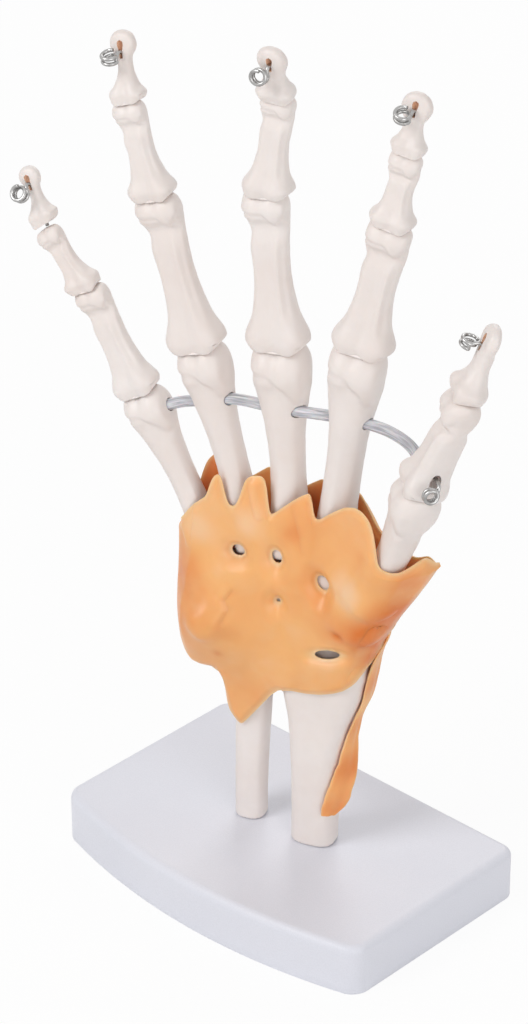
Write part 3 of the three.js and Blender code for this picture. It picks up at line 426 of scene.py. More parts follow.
def apply(piece, modifier):
    """Gives the piece the mesh that its modifier makes, and takes the modifier off."""
    bpy.context.view_layer.update()
    graph = bpy.context.evaluated_depsgraph_get()
    piece.data = bpy.data.meshes.new_from_object(piece.evaluated_get(graph))
    piece.modifiers.remove(modifier)


def settle(piece, body, node):
    """Creases the finished piece where it turns sharply, sets it on the body it rides on, and hides
    the solid that it stands in for.
    """
    piece.data.set_sharp_from_angle(angle=math.radians(CREASE))
    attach(piece, body)
    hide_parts(node)


# %% [markdown]
# ## Curves through few numbers
# A bone is described by a few sections: how wide it is, how deep to the palm and to the back,
# and how square. Straight lines between them would show as bands, so a cubic curve runs
# through each of these numbers, and the skin follows some fifty fine rings instead of eight.

# %% Curves through few numbers
def added_up(steps):
    """How far along each point lies, from the steps between the points."""
    return np.concatenate([[0], np.cumsum(steps)])


def full_turn(count):
    return np.linspace(0, 2 * math.pi, count, endpoint=False)


def smooth_rows(rows, count, start=0, stop=None):
    """A smooth curve through rows of numbers, from one row to another."""
    rows = np.array(rows, float)
    chord = np.linalg.norm(np.diff(rows[:, :3], axis=0), axis=1)
    reach = added_up(np.maximum(chord, 1e-6))
    slopes = np.gradient(rows, reach, axis=0)
    at = np.linspace(reach[start], reach[len(rows) - 1 if stop is None else stop], count)
    k = np.clip(np.searchsorted(reach, at, side="right") - 1, 0, len(rows) - 2)
    step = (reach[k + 1] - reach[k])[:, None]
    t = ((at - reach[k]) / step[:, 0])[:, None]
    return ((2 * t**3 - 3 * t**2 + 1) * rows[k] + (t**3 - 2 * t**2 + t) * step * slopes[k]
            + (3 * t**2 - 2 * t**3) * rows[k + 1] + (t**3 - t**2) * step * slopes[k + 1])


RING_SIDES = 64
half_turn = np.linspace(0, math.pi, 181)


def section(y, half, palm, back, square=2.3, back_square=2.1, shift=0.0, lift=0.0):
    """One ring of a bone: a rounded oblong, with its points evenly spaced."""
    halves = []
    for depth, power in ((palm, 2 / square), (-back, 2 / back_square)):
        x = half * np.sign(np.cos(half_turn)) * np.abs(np.cos(half_turn)) ** power
        z = depth * np.abs(np.sin(half_turn)) ** power
        if depth < 0:
            x, z = x[::-1], z[::-1]
        length = added_up(np.hypot(np.diff(x), np.diff(z)))
        at = np.linspace(0, length[-1], RING_SIDES // 2 + 1)[:-1]
        halves.append(np.stack([np.interp(at, length, x), np.interp(at, length, z)], -1))
    ring = np.vstack(halves)
    return xyz(ring[:, 0] + shift, y, ring[:, 1] + lift)


def catmull(points, count):
    """A smooth curve through points in space: three rounds of straight mixing at each step."""
    points = np.array(points, float)
    points = np.vstack([2 * points[0] - points[1], points, 2 * points[-1] - points[-2]])
    steps = np.maximum(np.linalg.norm(np.diff(points, axis=0), axis=1) ** 0.5, 1e-6)
    knots = added_up(steps)
    fine = []
    for t in np.linspace(knots[1], knots[-2], count):
        k = int(np.clip(np.searchsorted(knots, t, side="right") - 1, 1, len(points) - 3))
        near, at = points[k - 1:k + 3], knots[k - 1:k + 3]
        for low, high in ((at[:3], at[1:]), (at[:2], at[2:]), (at[1:2], at[2:3])):
            low, high = low[:, None], high[:, None]
            near = (near[:-1] * (high - t) + near[1:] * (t - low)) / (high - low)
        fine.append(near[0])
    return np.array(fine)


def step_up(x, low, high):
    """0 below the low value, 1 above the high one, and a soft step between."""
    t = np.clip((x - low) / (high - low), 0, 1)
    return t * t * (3 - 2 * t)


def step_down(x, low, high):
    return 1 - step_up(x, low, high)


def hump(x, middle, width):
    """1 in the middle and softly down to 0 on both sides."""
    return np.exp(-(((x - middle) / width) ** 2))


# %% [markdown]
# ## The sizes of the bones
# The same sizes as the solids': lengths run from joint face to joint face, splay leans a bone
# towards the thumb and tilt towards the palm. Half widths run across the finger.

# %% The sizes of the bones
JOINT_GAP = 0.4
BORE = 0.85  # the radius of the wire's hole
WIRE = 0.55  # the radius of the wire


def bone(length, splay, tilt, base, waist, head=0.0, radius=0.0, **more):
    """One bone's sizes: base and waist are half width and depth, head and radius the joint's."""
    return dict(length=length, splay=splay, tilt=tilt, base=base, waist=waist, head=head,
                radius=radius, **more)


FINGERS = {
    "little": dict(root=(-26, 1, 16), facing=0, bones={
        "metacarpal": bone(53.4, -25.8, 1, (5.2, 5.4), (4.1, 4.2), 6.8, 6.6),
        "proximal": bone(33.2, -26.6, 1.7, (7, 5), (4.3, 3.4), 5.4, 4),
        "middle": bone(19.6, -37.8, 0, (5.4, 4), (3, 2.5), 4.2, 3),
        "distal": bone(16.7, -22.8, -6, (4.4, 3.1), (1.9, 1.9), tuft=(3.3, 2.1), curl=30,
                       slack=1.2)}),
    "ring": dict(root=(-15, -1, 17.5), facing=0, bones={
        "metacarpal": bone(66.3, -14.3, 1, (4.6, 6), (4.7, 4.8), 7.4, 7.6),
        "proximal": bone(45.2, -15.6, 1.2, (8.4, 6), (5, 4), 6.9, 4.9),
        "middle": bone(27.1, -16.7, 0, (6.9, 4.8), (3.9, 3.1), 5, 3.5),
        "distal": bone(19.3, -8.8, -8, (5.2, 3.6), (2.2, 2), tuft=(3.9, 2.3), curl=75)}),
    "middle": dict(root=(-3.6, -2, 18), facing=0, bones={
        "metacarpal": bone(68.8, -2.8, 1, (5.9, 7.4), (5.3, 5.4), 8.3, 8.4),
        "proximal": bone(45.8, -4.4, 1.8, (8.9, 6.2), (5.2, 4.1), 6.9, 5),
        "middle": bone(29.2, 7.1, 1, (7.1, 5), (4.2, 3.2), 5.1, 3.6),
        "distal": bone(15.9, 0.8, 17, (5.4, 3.7), (3.1, 2.2), tuft=(4.4, 2.4), curl=25)}),
    "index": dict(root=(9, -1, 21), facing=0, bones={
        "metacarpal": bone(70.8, 7, 1, (5.7, 7.2), (5.5, 5.4), 8.1, 8.2),
        "proximal": bone(39.9, 12.5, 2.1, (8.6, 6), (5.3, 4), 6.6, 4.8),
        "middle": bone(21.2, 11.1, 0, (6.3, 4.7), (3.8, 3), 4.8, 3.5),
        "distal": bone(16.6, 7.9, -8, (4.9, 3.5), (2.7, 2.1), tuft=(4.4, 2.3), curl=65)}),
    "thumb": dict(root=(24.4, 8, 14), facing=-58, bones={
        "metacarpal": bone(49.4, 21.6, 8.1, (6.4, 6.2), (5, 4.8), 7.4, 7.4),
        "proximal": bone(32.7, 21.9, 1.7, (7.8, 6.4), (4.8, 5.2), 6.4, 5.6, knuckle=(5.6, 20)),
        "distal": bone(21.4, 19.1, -6.9, (6.6, 4.8), (3.3, 2.7), tuft=(4.8, 2.4), curl=90)}),
}


def place_of(origin, splay, tilt, facing):
    """Where a bone stands, and the directions across it, along it and to its palm side."""
    splay, tilt, facing = math.radians(splay), math.radians(tilt), math.radians(facing)
    along = np.array([math.sin(splay) * math.cos(tilt), -math.sin(tilt),
                      math.cos(splay) * math.cos(tilt)])
    palm = np.array([math.sin(facing), -math.cos(facing), 0])
    across = np.cross(along, palm)
    across /= np.linalg.norm(across)
    return np.array(origin, float), np.stack([across, along, np.cross(across, along)])


def laid(points, place):
    """Points drawn on a bone, as points of the hand."""
    origin, axes = place
    return np.asarray(points) @ axes + origin


# %% [markdown]
# ## The two ends of a joint
# Each phalanx rides on a rounded head. The head's palm and tip sides lie on a cylinder about
# the joint's line, and the next bone's hollow foot keeps a small gap to that same cylinder,
# so the joint turns freely. A ball would be simpler, but a finger joint is a pulley.

# %% The two ends of a joint
CUP_ANGLE = math.radians(46)
RIM_HIGH = 2.6  # how far the foot's rounded rim reaches up its side


def bore_rings(start, step, shares):
    """Rings down the wire's hole."""
    return [section(start + step * t, BORE, BORE, BORE, 2, 2) for t in shares]


def socket_rings(base, cup, hinge, drilled=8.0):
    """Rings from inside the bore over the hollow foot and its rounded rim to the shoulder."""
    half, depth = base
    cup_depth = min(cup * math.sin(CUP_ANGLE), depth - 0.7)

    def floor_at(x, z):
        """Where the cylinder about the joint's line stands, at this place across the foot."""
        z = np.clip(z, -cup_depth, cup_depth)
        on_hinge = hinge[0] * x + hinge[2] * z
        a, b = 1 - hinge[1] ** 2, -2 * hinge[1] * on_hinge
        c = x**2 + z**2 - on_hinge**2 - cup**2
        return (-b + np.sqrt(b * b - 4 * a * c)) / (2 * a)

    shoulder = float(floor_at(0, cup_depth)) + RIM_HIGH
    rings = bore_rings(floor_at(0, 0), drilled, (1, 0.5, 0.1, 0.02))
    for t in np.linspace(0, 1, 9):
        wide, deep = BORE + (half * 0.88 - BORE) * t, BORE + (cup_depth - BORE) * t
        ring = section(0, wide, deep, deep, 2 + 0.6 * t)
        ring[:, 1] = floor_at(ring[:, 0], ring[:, 2])
        rings.append(ring)
    for t in np.radians(np.linspace(9, 90, 10)):
        grown = math.sin(t)
        wide, deep = half * (0.88 + 0.12 * grown), cup_depth + (depth - cup_depth) * grown
        ring = section(0, wide, deep, deep * (1 - 0.03 * grown), 2.6 + 0.2 * grown)
        lip = floor_at(ring[:, 0], ring[:, 2]) + RIM_HIGH * (1 - math.cos(t))
        level = shoulder + 0.6 * (floor_at(ring[:, 0], 0) - floor_at(0, 0))
        ring[:, 1] = lip + (level - lip) * (1 - math.cos(t)) ** 2
        rings.append(ring)
    return shoulder, rings


def head_rings(joint, half, radius, drilled=8.0):
    """Rings from the neck over a head on its cylinder and into the wire's bore."""
    rings = []
    for angle in np.radians(np.linspace(-24, 62, 18)):
        depth = radius * math.cos(angle)
        width = half * (0.97 + 0.03 * step_up(angle, -0.49, 0))
        width *= math.cos(angle) ** 0.3 if angle > 0 else 1
        rings.append(section(joint + radius * math.sin(angle), width, depth, depth, 2.5))
    rim = rings[-1]
    hole = section(0, BORE, BORE, BORE, 2, 2)
    for t in np.linspace(0, 1, 9)[1:]:
        ring = rim + (hole - rim) * t
        ring[:, 1] = joint + radius * (0.883 + 0.1 * math.sin(t * math.pi / 2))
        rings.append(ring)
    return rings + bore_rings(joint + radius * 0.983, -drilled, (0.02, 0.1, 0.5, 1))


def head_rows(joint, half, radius):
    """The same head as rows for a shaft's curves to run into."""
    rows = []
    for angle in np.radians([-28, -16]):
        depth = radius * math.cos(angle)
        rows.append((joint + radius * math.sin(angle), half * 0.972, depth, depth, 2.5, 2.1))
    return rows


def shaft_rings(rows, count, start, stop):
    return [section(*row) for row in smooth_rows(rows, count, start, stop)]


# %% [markdown]
# ## Carving
# What makes a turned form a bone are its small shapes: the two lobes of a head with a groove
# between them, the crease under them, pits for the side ligaments, ridges along the palm
# side, a hollow between. A sculptor would push them in by hand. Here each is a soft hump or
# dent, written as numbers along and across the bone, and every point moves along its normal.

# %% Carving
def normals_of(rings, loop):
    """The outward direction at every point of a grid of rings."""
    along = np.roll(rings, -1, 0) - np.roll(rings, 1, 0)
    if not loop:
        along[0], along[-1] = rings[1] - rings[0], rings[-1] - rings[-2]
    around = np.roll(rings, -1, 1) - np.roll(rings, 1, 1)
    normal = np.cross(around, along)
    normal /= np.maximum(np.linalg.norm(normal, axis=2, keepdims=True), 1e-9)
    middle = rings.mean(1, keepdims=True)
    flip = np.sign(np.sum(normal * (rings - middle), axis=2).sum())
    return normal * (flip if flip else 1)


def uneven(points, size, seed):
    """Soft random humps and dents, the same on every run."""
    flat = points.reshape(-1, 3) / size + seed * 7.31
    return np.array([noise.noise(Vector(p)) for p in flat]).reshape(points.shape[:-1])


def carve_head(u, y, face, joint, radius, line, shelf, pit):
    """The groove between a head's lobes, the crease under them and the pits at its sides."""
    palm = step_up(face[..., 2], 0.2, 0.65)
    near = step_up(y, joint - 1.3 * radius, joint - 0.5 * radius)
    groove = -0.09 * hump(u, -0.02, 0.24) * near * np.where(face[..., 2] > -0.2, 1, 0.5)
    crease = -0.05 * hump(y, line, 0.15 * radius) * palm
    step = (shelf * step_up(y, line, line + 0.35 * radius)
            * step_up(joint + 0.8 * radius - y, 0, radius) * palm)
    side = (-pit * hump(y, joint - 0.15 * radius, 0.42 * radius)
            * step_up(np.abs(face[..., 0]), 0.75, 0.97))
    return radius * (groove + crease + step + side)


def carve_foot(u, t, face, size):
    """The thick lip of a phalanx's foot, its two knobs to the palm and the notch between them."""
    knobs = 0.1 * (hump(u, 0.62, 0.26) + hump(u, -0.62, 0.26)) - 0.13 * hump(u, 0.02, 0.24)
    knobs = knobs * step_up(face[..., 2], 0.1, 0.7)
    return size * (knobs * step_down(t, 0.05, 0.28) + 0.07 * hump(t, 0.02, 0.07))


def carve_shaft(u, t, face, size):
    """Ridges along both edges of the palm side, with a hollow between and a facet beside them."""
    palm = step_up(face[..., 2], 0.25, 0.75)
    window = step_up(t, 0.08, 0.26) * step_down(t, 0.7, 0.88)
    ridges = 0.09 * hump(u, 0.52, 0.15) + 0.05 * hump(u, -0.74, 0.16) - 0.06 * hump(u, 0.02, 0.36)
    facet = -0.05 * hump(u, 0.82, 0.14)
    dorsal = 0.02 * hump(u, 0, 0.4) * step_up(-face[..., 2], 0.3, 0.9)
    return size * window * ((ridges + facet) * palm + dorsal)


def carved(rings, first, last, shape, seed, loop):
    """Moves the points of the rings from first to last along their normals.

    The shape says how far, from a point's place across and along the bone and its normal."""
    rings = np.array(rings)
    part = slice(first, last)
    face = normals_of(rings, loop)[part]
    half = np.maximum(np.abs(rings[part, :, 0]).max(1, keepdims=True), 0.5)
    push = shape(rings[part, :, 0] / half, rings[part, :, 1], face)
    push = push + 0.09 * uneven(rings[part], 3.6, seed) + 0.05 * uneven(rings[part], 1.5, seed + 5)
    rings[part] += face * push[..., None]
    return rings

# %% [markdown]
# ## Phalanges and metacarpals
# A phalanx is a hollow foot, a waisted shaft and a head, with the wire's bore right through.
# A metacarpal has a blocky foot under the ligaments and a fuller, rounder head.

# %% Phalanges and metacarpals
LEAN_RINGS = 12  # over so many rings a shaft loses the lean of its foot
# So many rings lie inside a foot's hollow and inside the hole of a head, and are not carved
FOOT_INSIDE, HEAD_INSIDE = 14, 5


def between(y, thick, thin, width, palm, back, square):
    """A row of a shaft, part of the way from its thick foot to its thin waist."""
    wide, deep = (thin[k] - thick[k] for k in (0, 1))
    return (y, thick[0] + wide * width, thick[1] + deep * palm, thick[1] + deep * back, square, 2.1)


def neck_widths(waist, head):
    return [waist + (head - waist) * share for share in (0.3, 0.76)]


def shoulder_rows(shoulder, base):
    """The first rows of a phalanx's shaft, which take up the rim of its foot."""
    half, depth = base
    return [(shoulder - 1, half * 0.985, depth * 0.985, depth * 0.955, 2.8, 2.1),
            (shoulder, half, depth, depth * 0.97, 2.8, 2.1)]


def with_shaft(rings, rows, count, stop):
    """The rings of a foot and of the shaft on it, which leans as the foot's last ring does."""
    shaft = np.array(shaft_rings(rows, count, 1, stop)[1:])
    lean = rings[-1][:, 1] - rings[-1][:, 1].mean()
    for k, ring in enumerate(shaft):
        ring[:, 1] += lean * max(0, 1 - k / LEAN_RINGS) ** 2
    return [*rings, *shaft]


def phalanx(sizes, cup, hinge, seed):
    """The rings of a first or middle phalanx, and how far along its next joint lies."""
    base, waist, head, radius = (sizes[key] for key in ("base", "waist", "head", "radius"))
    shoulder, rings = socket_rings(base, cup, hinge)
    joint = cup + sizes["length"] - radius
    room = joint - radius - shoulder
    neck = neck_widths(waist[0], head)
    rows = [
        *shoulder_rows(shoulder, base),
        between(shoulder + room * 0.24, base, waist, 0.62, 0.6, 0.55, 2.7),
        (shoulder + room * 0.55, waist[0], waist[1] * 0.92, waist[1] * 1.06, 2.9, 2.1),
        (shoulder + room * 0.85, neck[0], waist[1] * 0.85, waist[1], 2.8, 2.1),
        (joint - radius * 0.85, neck[1], radius * 0.56, radius * 0.72, 2.4, 2.1),
        *head_rows(joint, head, radius),
    ]
    rings = [*with_shaft(rings, rows, 40, 6), *head_rings(joint, head, radius)]

    def shape(u, y, face):
        t = (y - shoulder) / (joint - shoulder)
        line = joint - radius * (0.25 + 0.75 * hump(u, 0.5, 0.26))
        narrow = (-0.2 * radius * hump(y, joint - 1.5 * radius, 0.55 * radius)
                  * step_up(-u, 0.5, 0.95))
        return (carve_head(u, y, face, joint, radius, line, 0.07, 0.1) + narrow
                + carve_foot(u, t, face, base[1]) + carve_shaft(u, t, face, waist[0]))

    return carved(rings, FOOT_INSIDE, len(rings) - HEAD_INSIDE, shape, seed, True), joint


def metacarpal(sizes, seed):
    """The rings of a metacarpal, and how far along its knuckle lies."""
    base, waist, head, radius = (sizes[key] for key in ("base", "waist", "head", "radius"))
    half, depth = base
    joint = sizes["length"] - radius
    room = joint - radius
    neck = neck_widths(waist[0], head)
    rings = []
    for t in np.radians(np.linspace(8, 82, 8)):
        grown = 0.5 + 0.5 * math.sin(t)
        level = 0.3 + 2 * (1 - math.cos(t))
        rings.append(section(level, half * grown, depth * grown, depth * grown, 3))
    rows = [
        (1.6, half * 0.97, depth * 0.97, depth * 0.97, 3, 2.3),
        (2.2, half, depth, depth, 3, 2.3),
        between(room * 0.16, base, waist, 0.35, 0.3, 0.25, 2.6),
        between(room * 0.34, base, waist, 0.85, 0.8, 0.7, 2.4),
        (room * 0.6, waist[0], waist[1] * 0.85, waist[1] * 1.1, 2.2, 2.1),
        (room * 0.84, neck[0], waist[1], waist[1] * 1.15, 2.2, 2.1),
        (joint - radius * 0.9, neck[1], radius * 0.76, radius * 0.7, 2.3, 2.1),
        *head_rows(joint, head, radius),
    ]
    rings += [*shaft_rings(rows, 52, 1, 7), *head_rings(joint, head, radius)]

    def shape(u, y, face):
        palm = step_up(face[..., 2], 0.2, 0.7)
        window = step_up(y / joint, 0.12, 0.3) * step_down(y / joint, 0.68, 0.84)
        keel = 0.07 * waist[0] * hump(u, -0.1, 0.3) * palm * window
        flats = -0.05 * waist[0] * step_up(np.abs(face[..., 0]), 0.6, 0.95) * window
        line = joint - radius * (0.05 + 0.45 * step_up(u, -0.3, 0.3) + 0.65 * hump(u, 0.8, 0.34))
        bulge = (0.06 * radius * hump(y, joint - 0.2 * radius, 0.7 * radius)
                 * step_up(u, 0.5, 0.95))
        cleft = -0.03 * radius * hump(u, 0.34, 0.1) * hump(y, joint, 0.9 * radius) * palm
        head_shape = carve_head(u, y, face, joint, radius, line, 0.06, 0.05)
        return head_shape + keel + flats + bulge + cleft

    return carved(rings, 1, len(rings) - HEAD_INSIDE, shape, seed, False), joint

# %% [markdown]
# ## The last bones
# A last bone narrows to a neck and spreads to a round, flat tuft. In the tuft is a slot, in
# the shape of a drop, where the wire comes out of the bone. Its walls are painted a warmer,
# darker tone than the bone, which is painted shade for the groove. The slot could be painted
# on, but its walls catch the light, so it is cut with a Boolean, and the tool lends its own
# material, with that painted shade, to the walls that it leaves.

# %% The last bones
SLOT_FROM, SLOT_TO, EXIT_SHARE = -1.5, 0.87, 0.66
# The tuft's outline: how far along, how wide and how deep, all as shares of its sizes
TUFT_ROWS = ((-0.45, 0.88, 0.97), (0, 1, 1), (0.45, 0.9, 0.92), (0.75, 0.67, 0.75),
             (0.94, 0.32, 0.4))
# The punch for the slot: its height over the bone's middle and its size there
PUNCH_ROWS = ((0.6, 0.55), (0.8, 0.8), (1.4, 0.95), (5, 1.15))


def distal(sizes, cup, hinge, seed):
    """The rings of a finger's last bone."""
    base, waist, tuft = (sizes[key] for key in ("base", "waist", "tuft"))
    shoulder, rings = socket_rings(base, cup, hinge, 4.0)
    tip = cup + sizes["length"]
    room, disc = tip - shoulder, tip - tuft[0]
    rows = [
        *shoulder_rows(shoulder, base),
        between(shoulder + room * 0.16, base, waist, 0.55, 0.5, 0.5, 2.4),
        between(shoulder + room * 0.36, base, waist, 1, 1, 1, 2.2),
        (disc - tuft[0] * 0.85, max(waist[0] * 1.05, tuft[0] * 0.62), (waist[1] + tuft[1]) * 0.5,
         waist[1] * 0.9, 2.2, 2.1),
        *[(disc + tuft[0] * y, tuft[0] * half, tuft[1] * deep, tuft[1] * deep * 0.8, 2.2, 2.1)
          for y, half, deep in TUFT_ROWS],
    ]
    rings = with_shaft(rings, rows, 54, 9)

    def shape(u, y, face):
        t = (y - shoulder) / room
        flat = step_up(t, 0.5, 0.72)
        rim = 0.05 * tuft[0] * hump(np.abs(u), 0.75, 0.22) * step_up(face[..., 2], 0.2, 0.8)
        return carve_foot(u, t, face, base[1]) + flat * rim * step_down(t, 0.88, 0.98)

    return carved(rings, FOOT_INSIDE, len(rings) - 1, shape, seed, False)


def drop_tool(name, from_y, to_y, place):
    """A drop-shaped punch: narrow where the wire comes out, round towards the tip."""
    share = np.linspace(0, 1, 15)
    widths = 0.5 + 0.4 * step_up(share, 0.35, 0.8)
    end = np.sqrt(np.clip(1 - ((share - 0.8) / 0.2).clip(0, 1) ** 2, 0, 1))
    foot = np.sqrt(np.clip(1 - (1 - share / 0.12).clip(0, 1) ** 2, 0, 1))
    y, width = from_y + (to_y - from_y) * share, widths * end * foot
    outline = np.vstack([np.stack([width, y], -1)[1:], np.stack([-width, y], -1)[::-1][1:-1]])
    rings = []
    middle = outline.mean(0)
    for z, scale in PUNCH_ROWS:
        grown = middle + (outline - middle) * [scale, 0.97 + 0.03 * scale]
        rings.append(xyz(*grown.T, z))
    points, faces = skin(rings)
    return new_object(name, laid(points, place), faces, slot_shade_finish)


def cut(piece, tool, keep_tool_finish=False):
    """Takes the tool's shape out of the piece, and throws the tool away."""
    if keep_tool_finish:
        piece.data.materials.append(tool.data.materials[0])
    change = piece.modifiers.new("cut", "BOOLEAN")
    change.operation = "DIFFERENCE"
    change.solver = "EXACT"
    change.material_mode = "TRANSFER" if keep_tool_finish else "INDEX"
    change.object = tool
    apply(piece, change)
    bpy.data.objects.remove(tool)


# %% [markdown]
# ## Tubes
# Wires, curls and the cord are all tubes along a path. A bevelled curve would do, but Geometry
# Nodes sweep a circle along the path and also store, for each point, its place round and along
# the tube, which the streaks of the finishes need. The tree is built once, with named inputs,
# and each tube sets them for itself. "swell" rounds off the two ends.

# %% Tubes
TUBE_SOCKETS = (("Path", "Geometry"), ("Radius", "Float"), ("Sides", "Int"),
                ("Finish", "Material"))


def tube_tree():
    """The node group that sweeps a circle along the edges it is given, and its inputs' names."""
    tree = bpy.data.node_groups.new("tube_along_path", "GeometryNodeTree")
    nodes, names = Nodes(tree), {}
    tree.interface.new_socket("Geometry", in_out="OUTPUT", socket_type="NodeSocketGeometry")
    for label, kind in TUBE_SOCKETS:
        made = tree.interface.new_socket(label, in_out="INPUT", socket_type=f"NodeSocket{kind}")
        names[label] = made.identifier
    given = tree.nodes.new("NodeGroupInput")
    path, radius, sides, finish = (Signal(nodes, socket) for socket in given.outputs[:4])

    def stored(geometry, label, kind, value):
        return nodes.add("GeometryNodeStoreNamedAttribute", {0: geometry, 2: label, 3: value},
                         data_type=kind, domain="POINT")

    def read(label, kind):
        return nodes.add("GeometryNodeInputNamedAttribute", {0: label}, data_type=kind)

    line = nodes.add("GeometryNodeMeshToCurve", {0: path})
    along = nodes.add("GeometryNodeSplineParameter", output=1) * 1000
    line = stored(line, "reach", "FLOAT", along)
    circle = nodes.add("GeometryNodeCurvePrimitiveCircle", {0: sides, 4: 1.0}, mode="RADIUS")
    circle = stored(circle, "round", "FLOAT_VECTOR", nodes.add("GeometryNodeInputPosition"))
    swept = nodes.add("GeometryNodeCurveToMesh",
                      {0: line, 1: circle, 2: read("swell", "FLOAT") * radius, 3: True})
    reach = nodes.add("ShaderNodeCombineXYZ", {2: read("reach", "FLOAT")})
    strand = nodes.add("ShaderNodeVectorMath", {0: read("round", "FLOAT_VECTOR"), 1: reach},
                       operation="ADD")
    swept = stored(swept, "strand", "FLOAT_VECTOR", strand)
    swept = nodes.add("GeometryNodeRealizeInstances", {0: swept})
    nodes.feed(tree.nodes.new("NodeGroupOutput").inputs[0],
               nodes.add("GeometryNodeSetMaterial", {0: swept, 2: finish}))
    return tree, names


TUBE, TUBE_INPUTS = tube_tree()
# An end rounds off over these shares of the radius, with these shares of its thickness
END_STEPS, END_SWELL = (0.06, 0.22), (0.55, 0.86)


def tube(name, path, radius, sides, finish, place=None):
    """A round tube along a path, with softly rounded ends."""
    path = np.asarray(path, float) if place is None else laid(path, place)
    ends = []
    for near, far in ((path[0], path[1]), (path[-1], path[-2])):
        step = (far - near) / np.linalg.norm(far - near) * radius
        ends.append([near, *(near + step * share for share in END_STEPS)])
    path = to_frame(np.vstack([*ends[0], *path[1:-1], *reversed(ends[1])]))
    mesh = bpy.data.meshes.new(name)
    mesh.from_pydata(path.tolist(), [(k, k + 1) for k in range(len(path) - 1)], [])
    swell = np.ones(len(path))
    swell[:2] = swell[:-3:-1] = END_SWELL
    mesh.attributes.new("swell", "FLOAT", "POINT").data.foreach_set("value", swell)
    piece = in_scene(name, mesh)
    sweep = piece.modifiers.new("sweep", "NODES")
    sweep.node_group = TUBE
    for label, value in (("Radius", radius * 0.001), ("Sides", sides), ("Finish", finish)):
        sweep[TUBE_INPUTS[label]] = value
    apply(piece, sweep)
    piece.data.shade_smooth()
    return piece


def add_wire(name, node, path, place, body):
    settle(tube(name, path, WIRE, 16, steel_finish, place), body, node)


CURL_RADIUS, CURL_PITCH, CURL_TURNS, CURL_DROP = 1.95, 1.55, 1.8, 1.5


def curled_path(inside, exit_y, surface, tilt):
    """The path of a wire that leaves a bone, turns down and ends in a curl in front of it."""
    lean = math.radians(tilt)
    axis = np.array([0, math.sin(lean), math.cos(lean)])
    side = np.array([1.0, 0, 0])
    down = np.cross(side, axis)
    stand_off = WIRE + 0.3 + CURL_RADIUS * math.sin(lean)
    middle = np.array([-CURL_RADIUS, exit_y - CURL_DROP, surface + stand_off])
    angle = np.linspace(0, CURL_TURNS * 2 * math.pi, 84)[:, None]
    curl = (middle + CURL_RADIUS * (np.cos(angle) * side + np.sin(angle) * down)
            + axis * CURL_PITCH * angle / (2 * math.pi))
    shank = catmull([inside[-1], (0, exit_y + 0.5, surface * 0.6 + 0.2),
                     (0, exit_y + 1, surface + 0.9), (0, exit_y - 0.4, surface + stand_off + 0.2),
                     curl[0]], 36)
    return np.vstack([inside[:-1], shank[:-1], curl])

# %% [markdown]
# ## The cord's path
# The cord is threaded through all five metacarpals, so its path comes before them: each is
# drilled along it. A curve through a few marked points is enough, as rubber bends evenly.

# %% The cord's path
CORD_ROUTE = [
    (-44.6, 2.4, 58.6), (-41.2, 2, 60.2), (-36.6, 0.4, 61.6), (-32.2, -0.8, 62.2), (-26.6, 0.2, 64),
    (-21, 1.6, 66.4), (-17, 0.4, 66), (-13, -0.8, 65.2), (-6.6, 0.4, 66), (-0.8, 1.8, 66.8),
    (3.8, 0.4, 66.4), (8.6, -0.8, 66), (14.4, 0.4, 67), (19.6, 1.6, 67.4), (27, 1, 65.8),
    (33.6, 1.6, 62.8), (37.6, 3.6, 58.4), (38.8, 6.8, 52.8), (38, 10.4, 47.6)]
CORD_RADIUS = 1.65
cord_path = catmull([spot(*place) for place in CORD_ROUTE], 150)
print("cord", round(float(np.linalg.norm(np.diff(cord_path, axis=0), axis=1).sum()), 1), "mm long")

# %% [markdown]
# ## The five fingers
# Each bone stands on the joint of the one before, so the fingers are built from the wrist
# outwards, as they would be strung. Modelling each bone in place would work too, but here one
# size can change and the rest of its finger follows.

# %% The five fingers
# A bone's wire starts this far past the joint and stops this far short of the bone's end
WIRE_FROM, WIRE_SHORT, WIRE_STEPS = 0.3, 0.1, 6
METACARPAL_WIRE = 10.7  # how far down from its knuckle a metacarpal's wire reaches
HOLE_HALVES, HOLE_DEPTHS = (2.7, 1.6), (2.3, 4, 7, 10.1)  # the hole at the thumb's knuckle
bones_under_sheets = []


def bone_and_wire(kind, sizes, start, cup, hinge, seed):
    """A bone's skin, the path of its wire, and where its next joint or the wire's exit lies."""
    if kind == "distal":
        exit_y = cup + sizes["length"] * EXIT_SHARE
        inside = np.array([(0, start, 0), (0, exit_y - 2, 0), (0, exit_y - 1, 0.1)])
        wire = curled_path(inside, exit_y, sizes["tuft"][1], sizes["curl"])
        return skin(distal(sizes, cup, hinge, seed)), wire, exit_y
    if kind == "metacarpal":
        rings, joint = metacarpal(sizes, seed)
        start, stop = sizes["length"] - METACARPAL_WIRE, sizes["length"] - WIRE_SHORT
    else:
        rings, joint = phalanx(sizes, cup, hinge, seed)
        stop = joint + sizes["radius"] - WIRE_SHORT
    wire = np.linspace([0.0, start, 0.0], [0.0, stop, 0.0], WIRE_STEPS)
    return skin(rings, loop=kind != "metacarpal"), wire, joint


def add_knuckle_curl(piece, sizes, cup, place, body):
    """Cuts the thumb's side open at its knuckle and adds the wire curl that comes out there."""
    up, tilt = sizes["knuckle"]
    exit_y, turn = cup + up, full_turn(32)
    inside = np.array([(0, exit_y, 2.4), (0, exit_y, 4)])
    curl = curled_path(inside, exit_y, sizes["base"][0], tilt)
    curl = xyz(curl[:, 2], curl[:, 1], -curl[:, 0])
    high, wide = HOLE_HALVES
    ring = xyz(0, exit_y - 0.5 + high * np.sin(turn), -wide * np.cos(turn))
    punch = laid([ring + [depth, 0, 0] for depth in HOLE_DEPTHS], place)
    cut(piece, new_object("knuckle_punch", *skin(punch), bone_finish))
    add_wire("wire_thumb_knuckle", "thumb_knuckle_wire", curl, place, body)


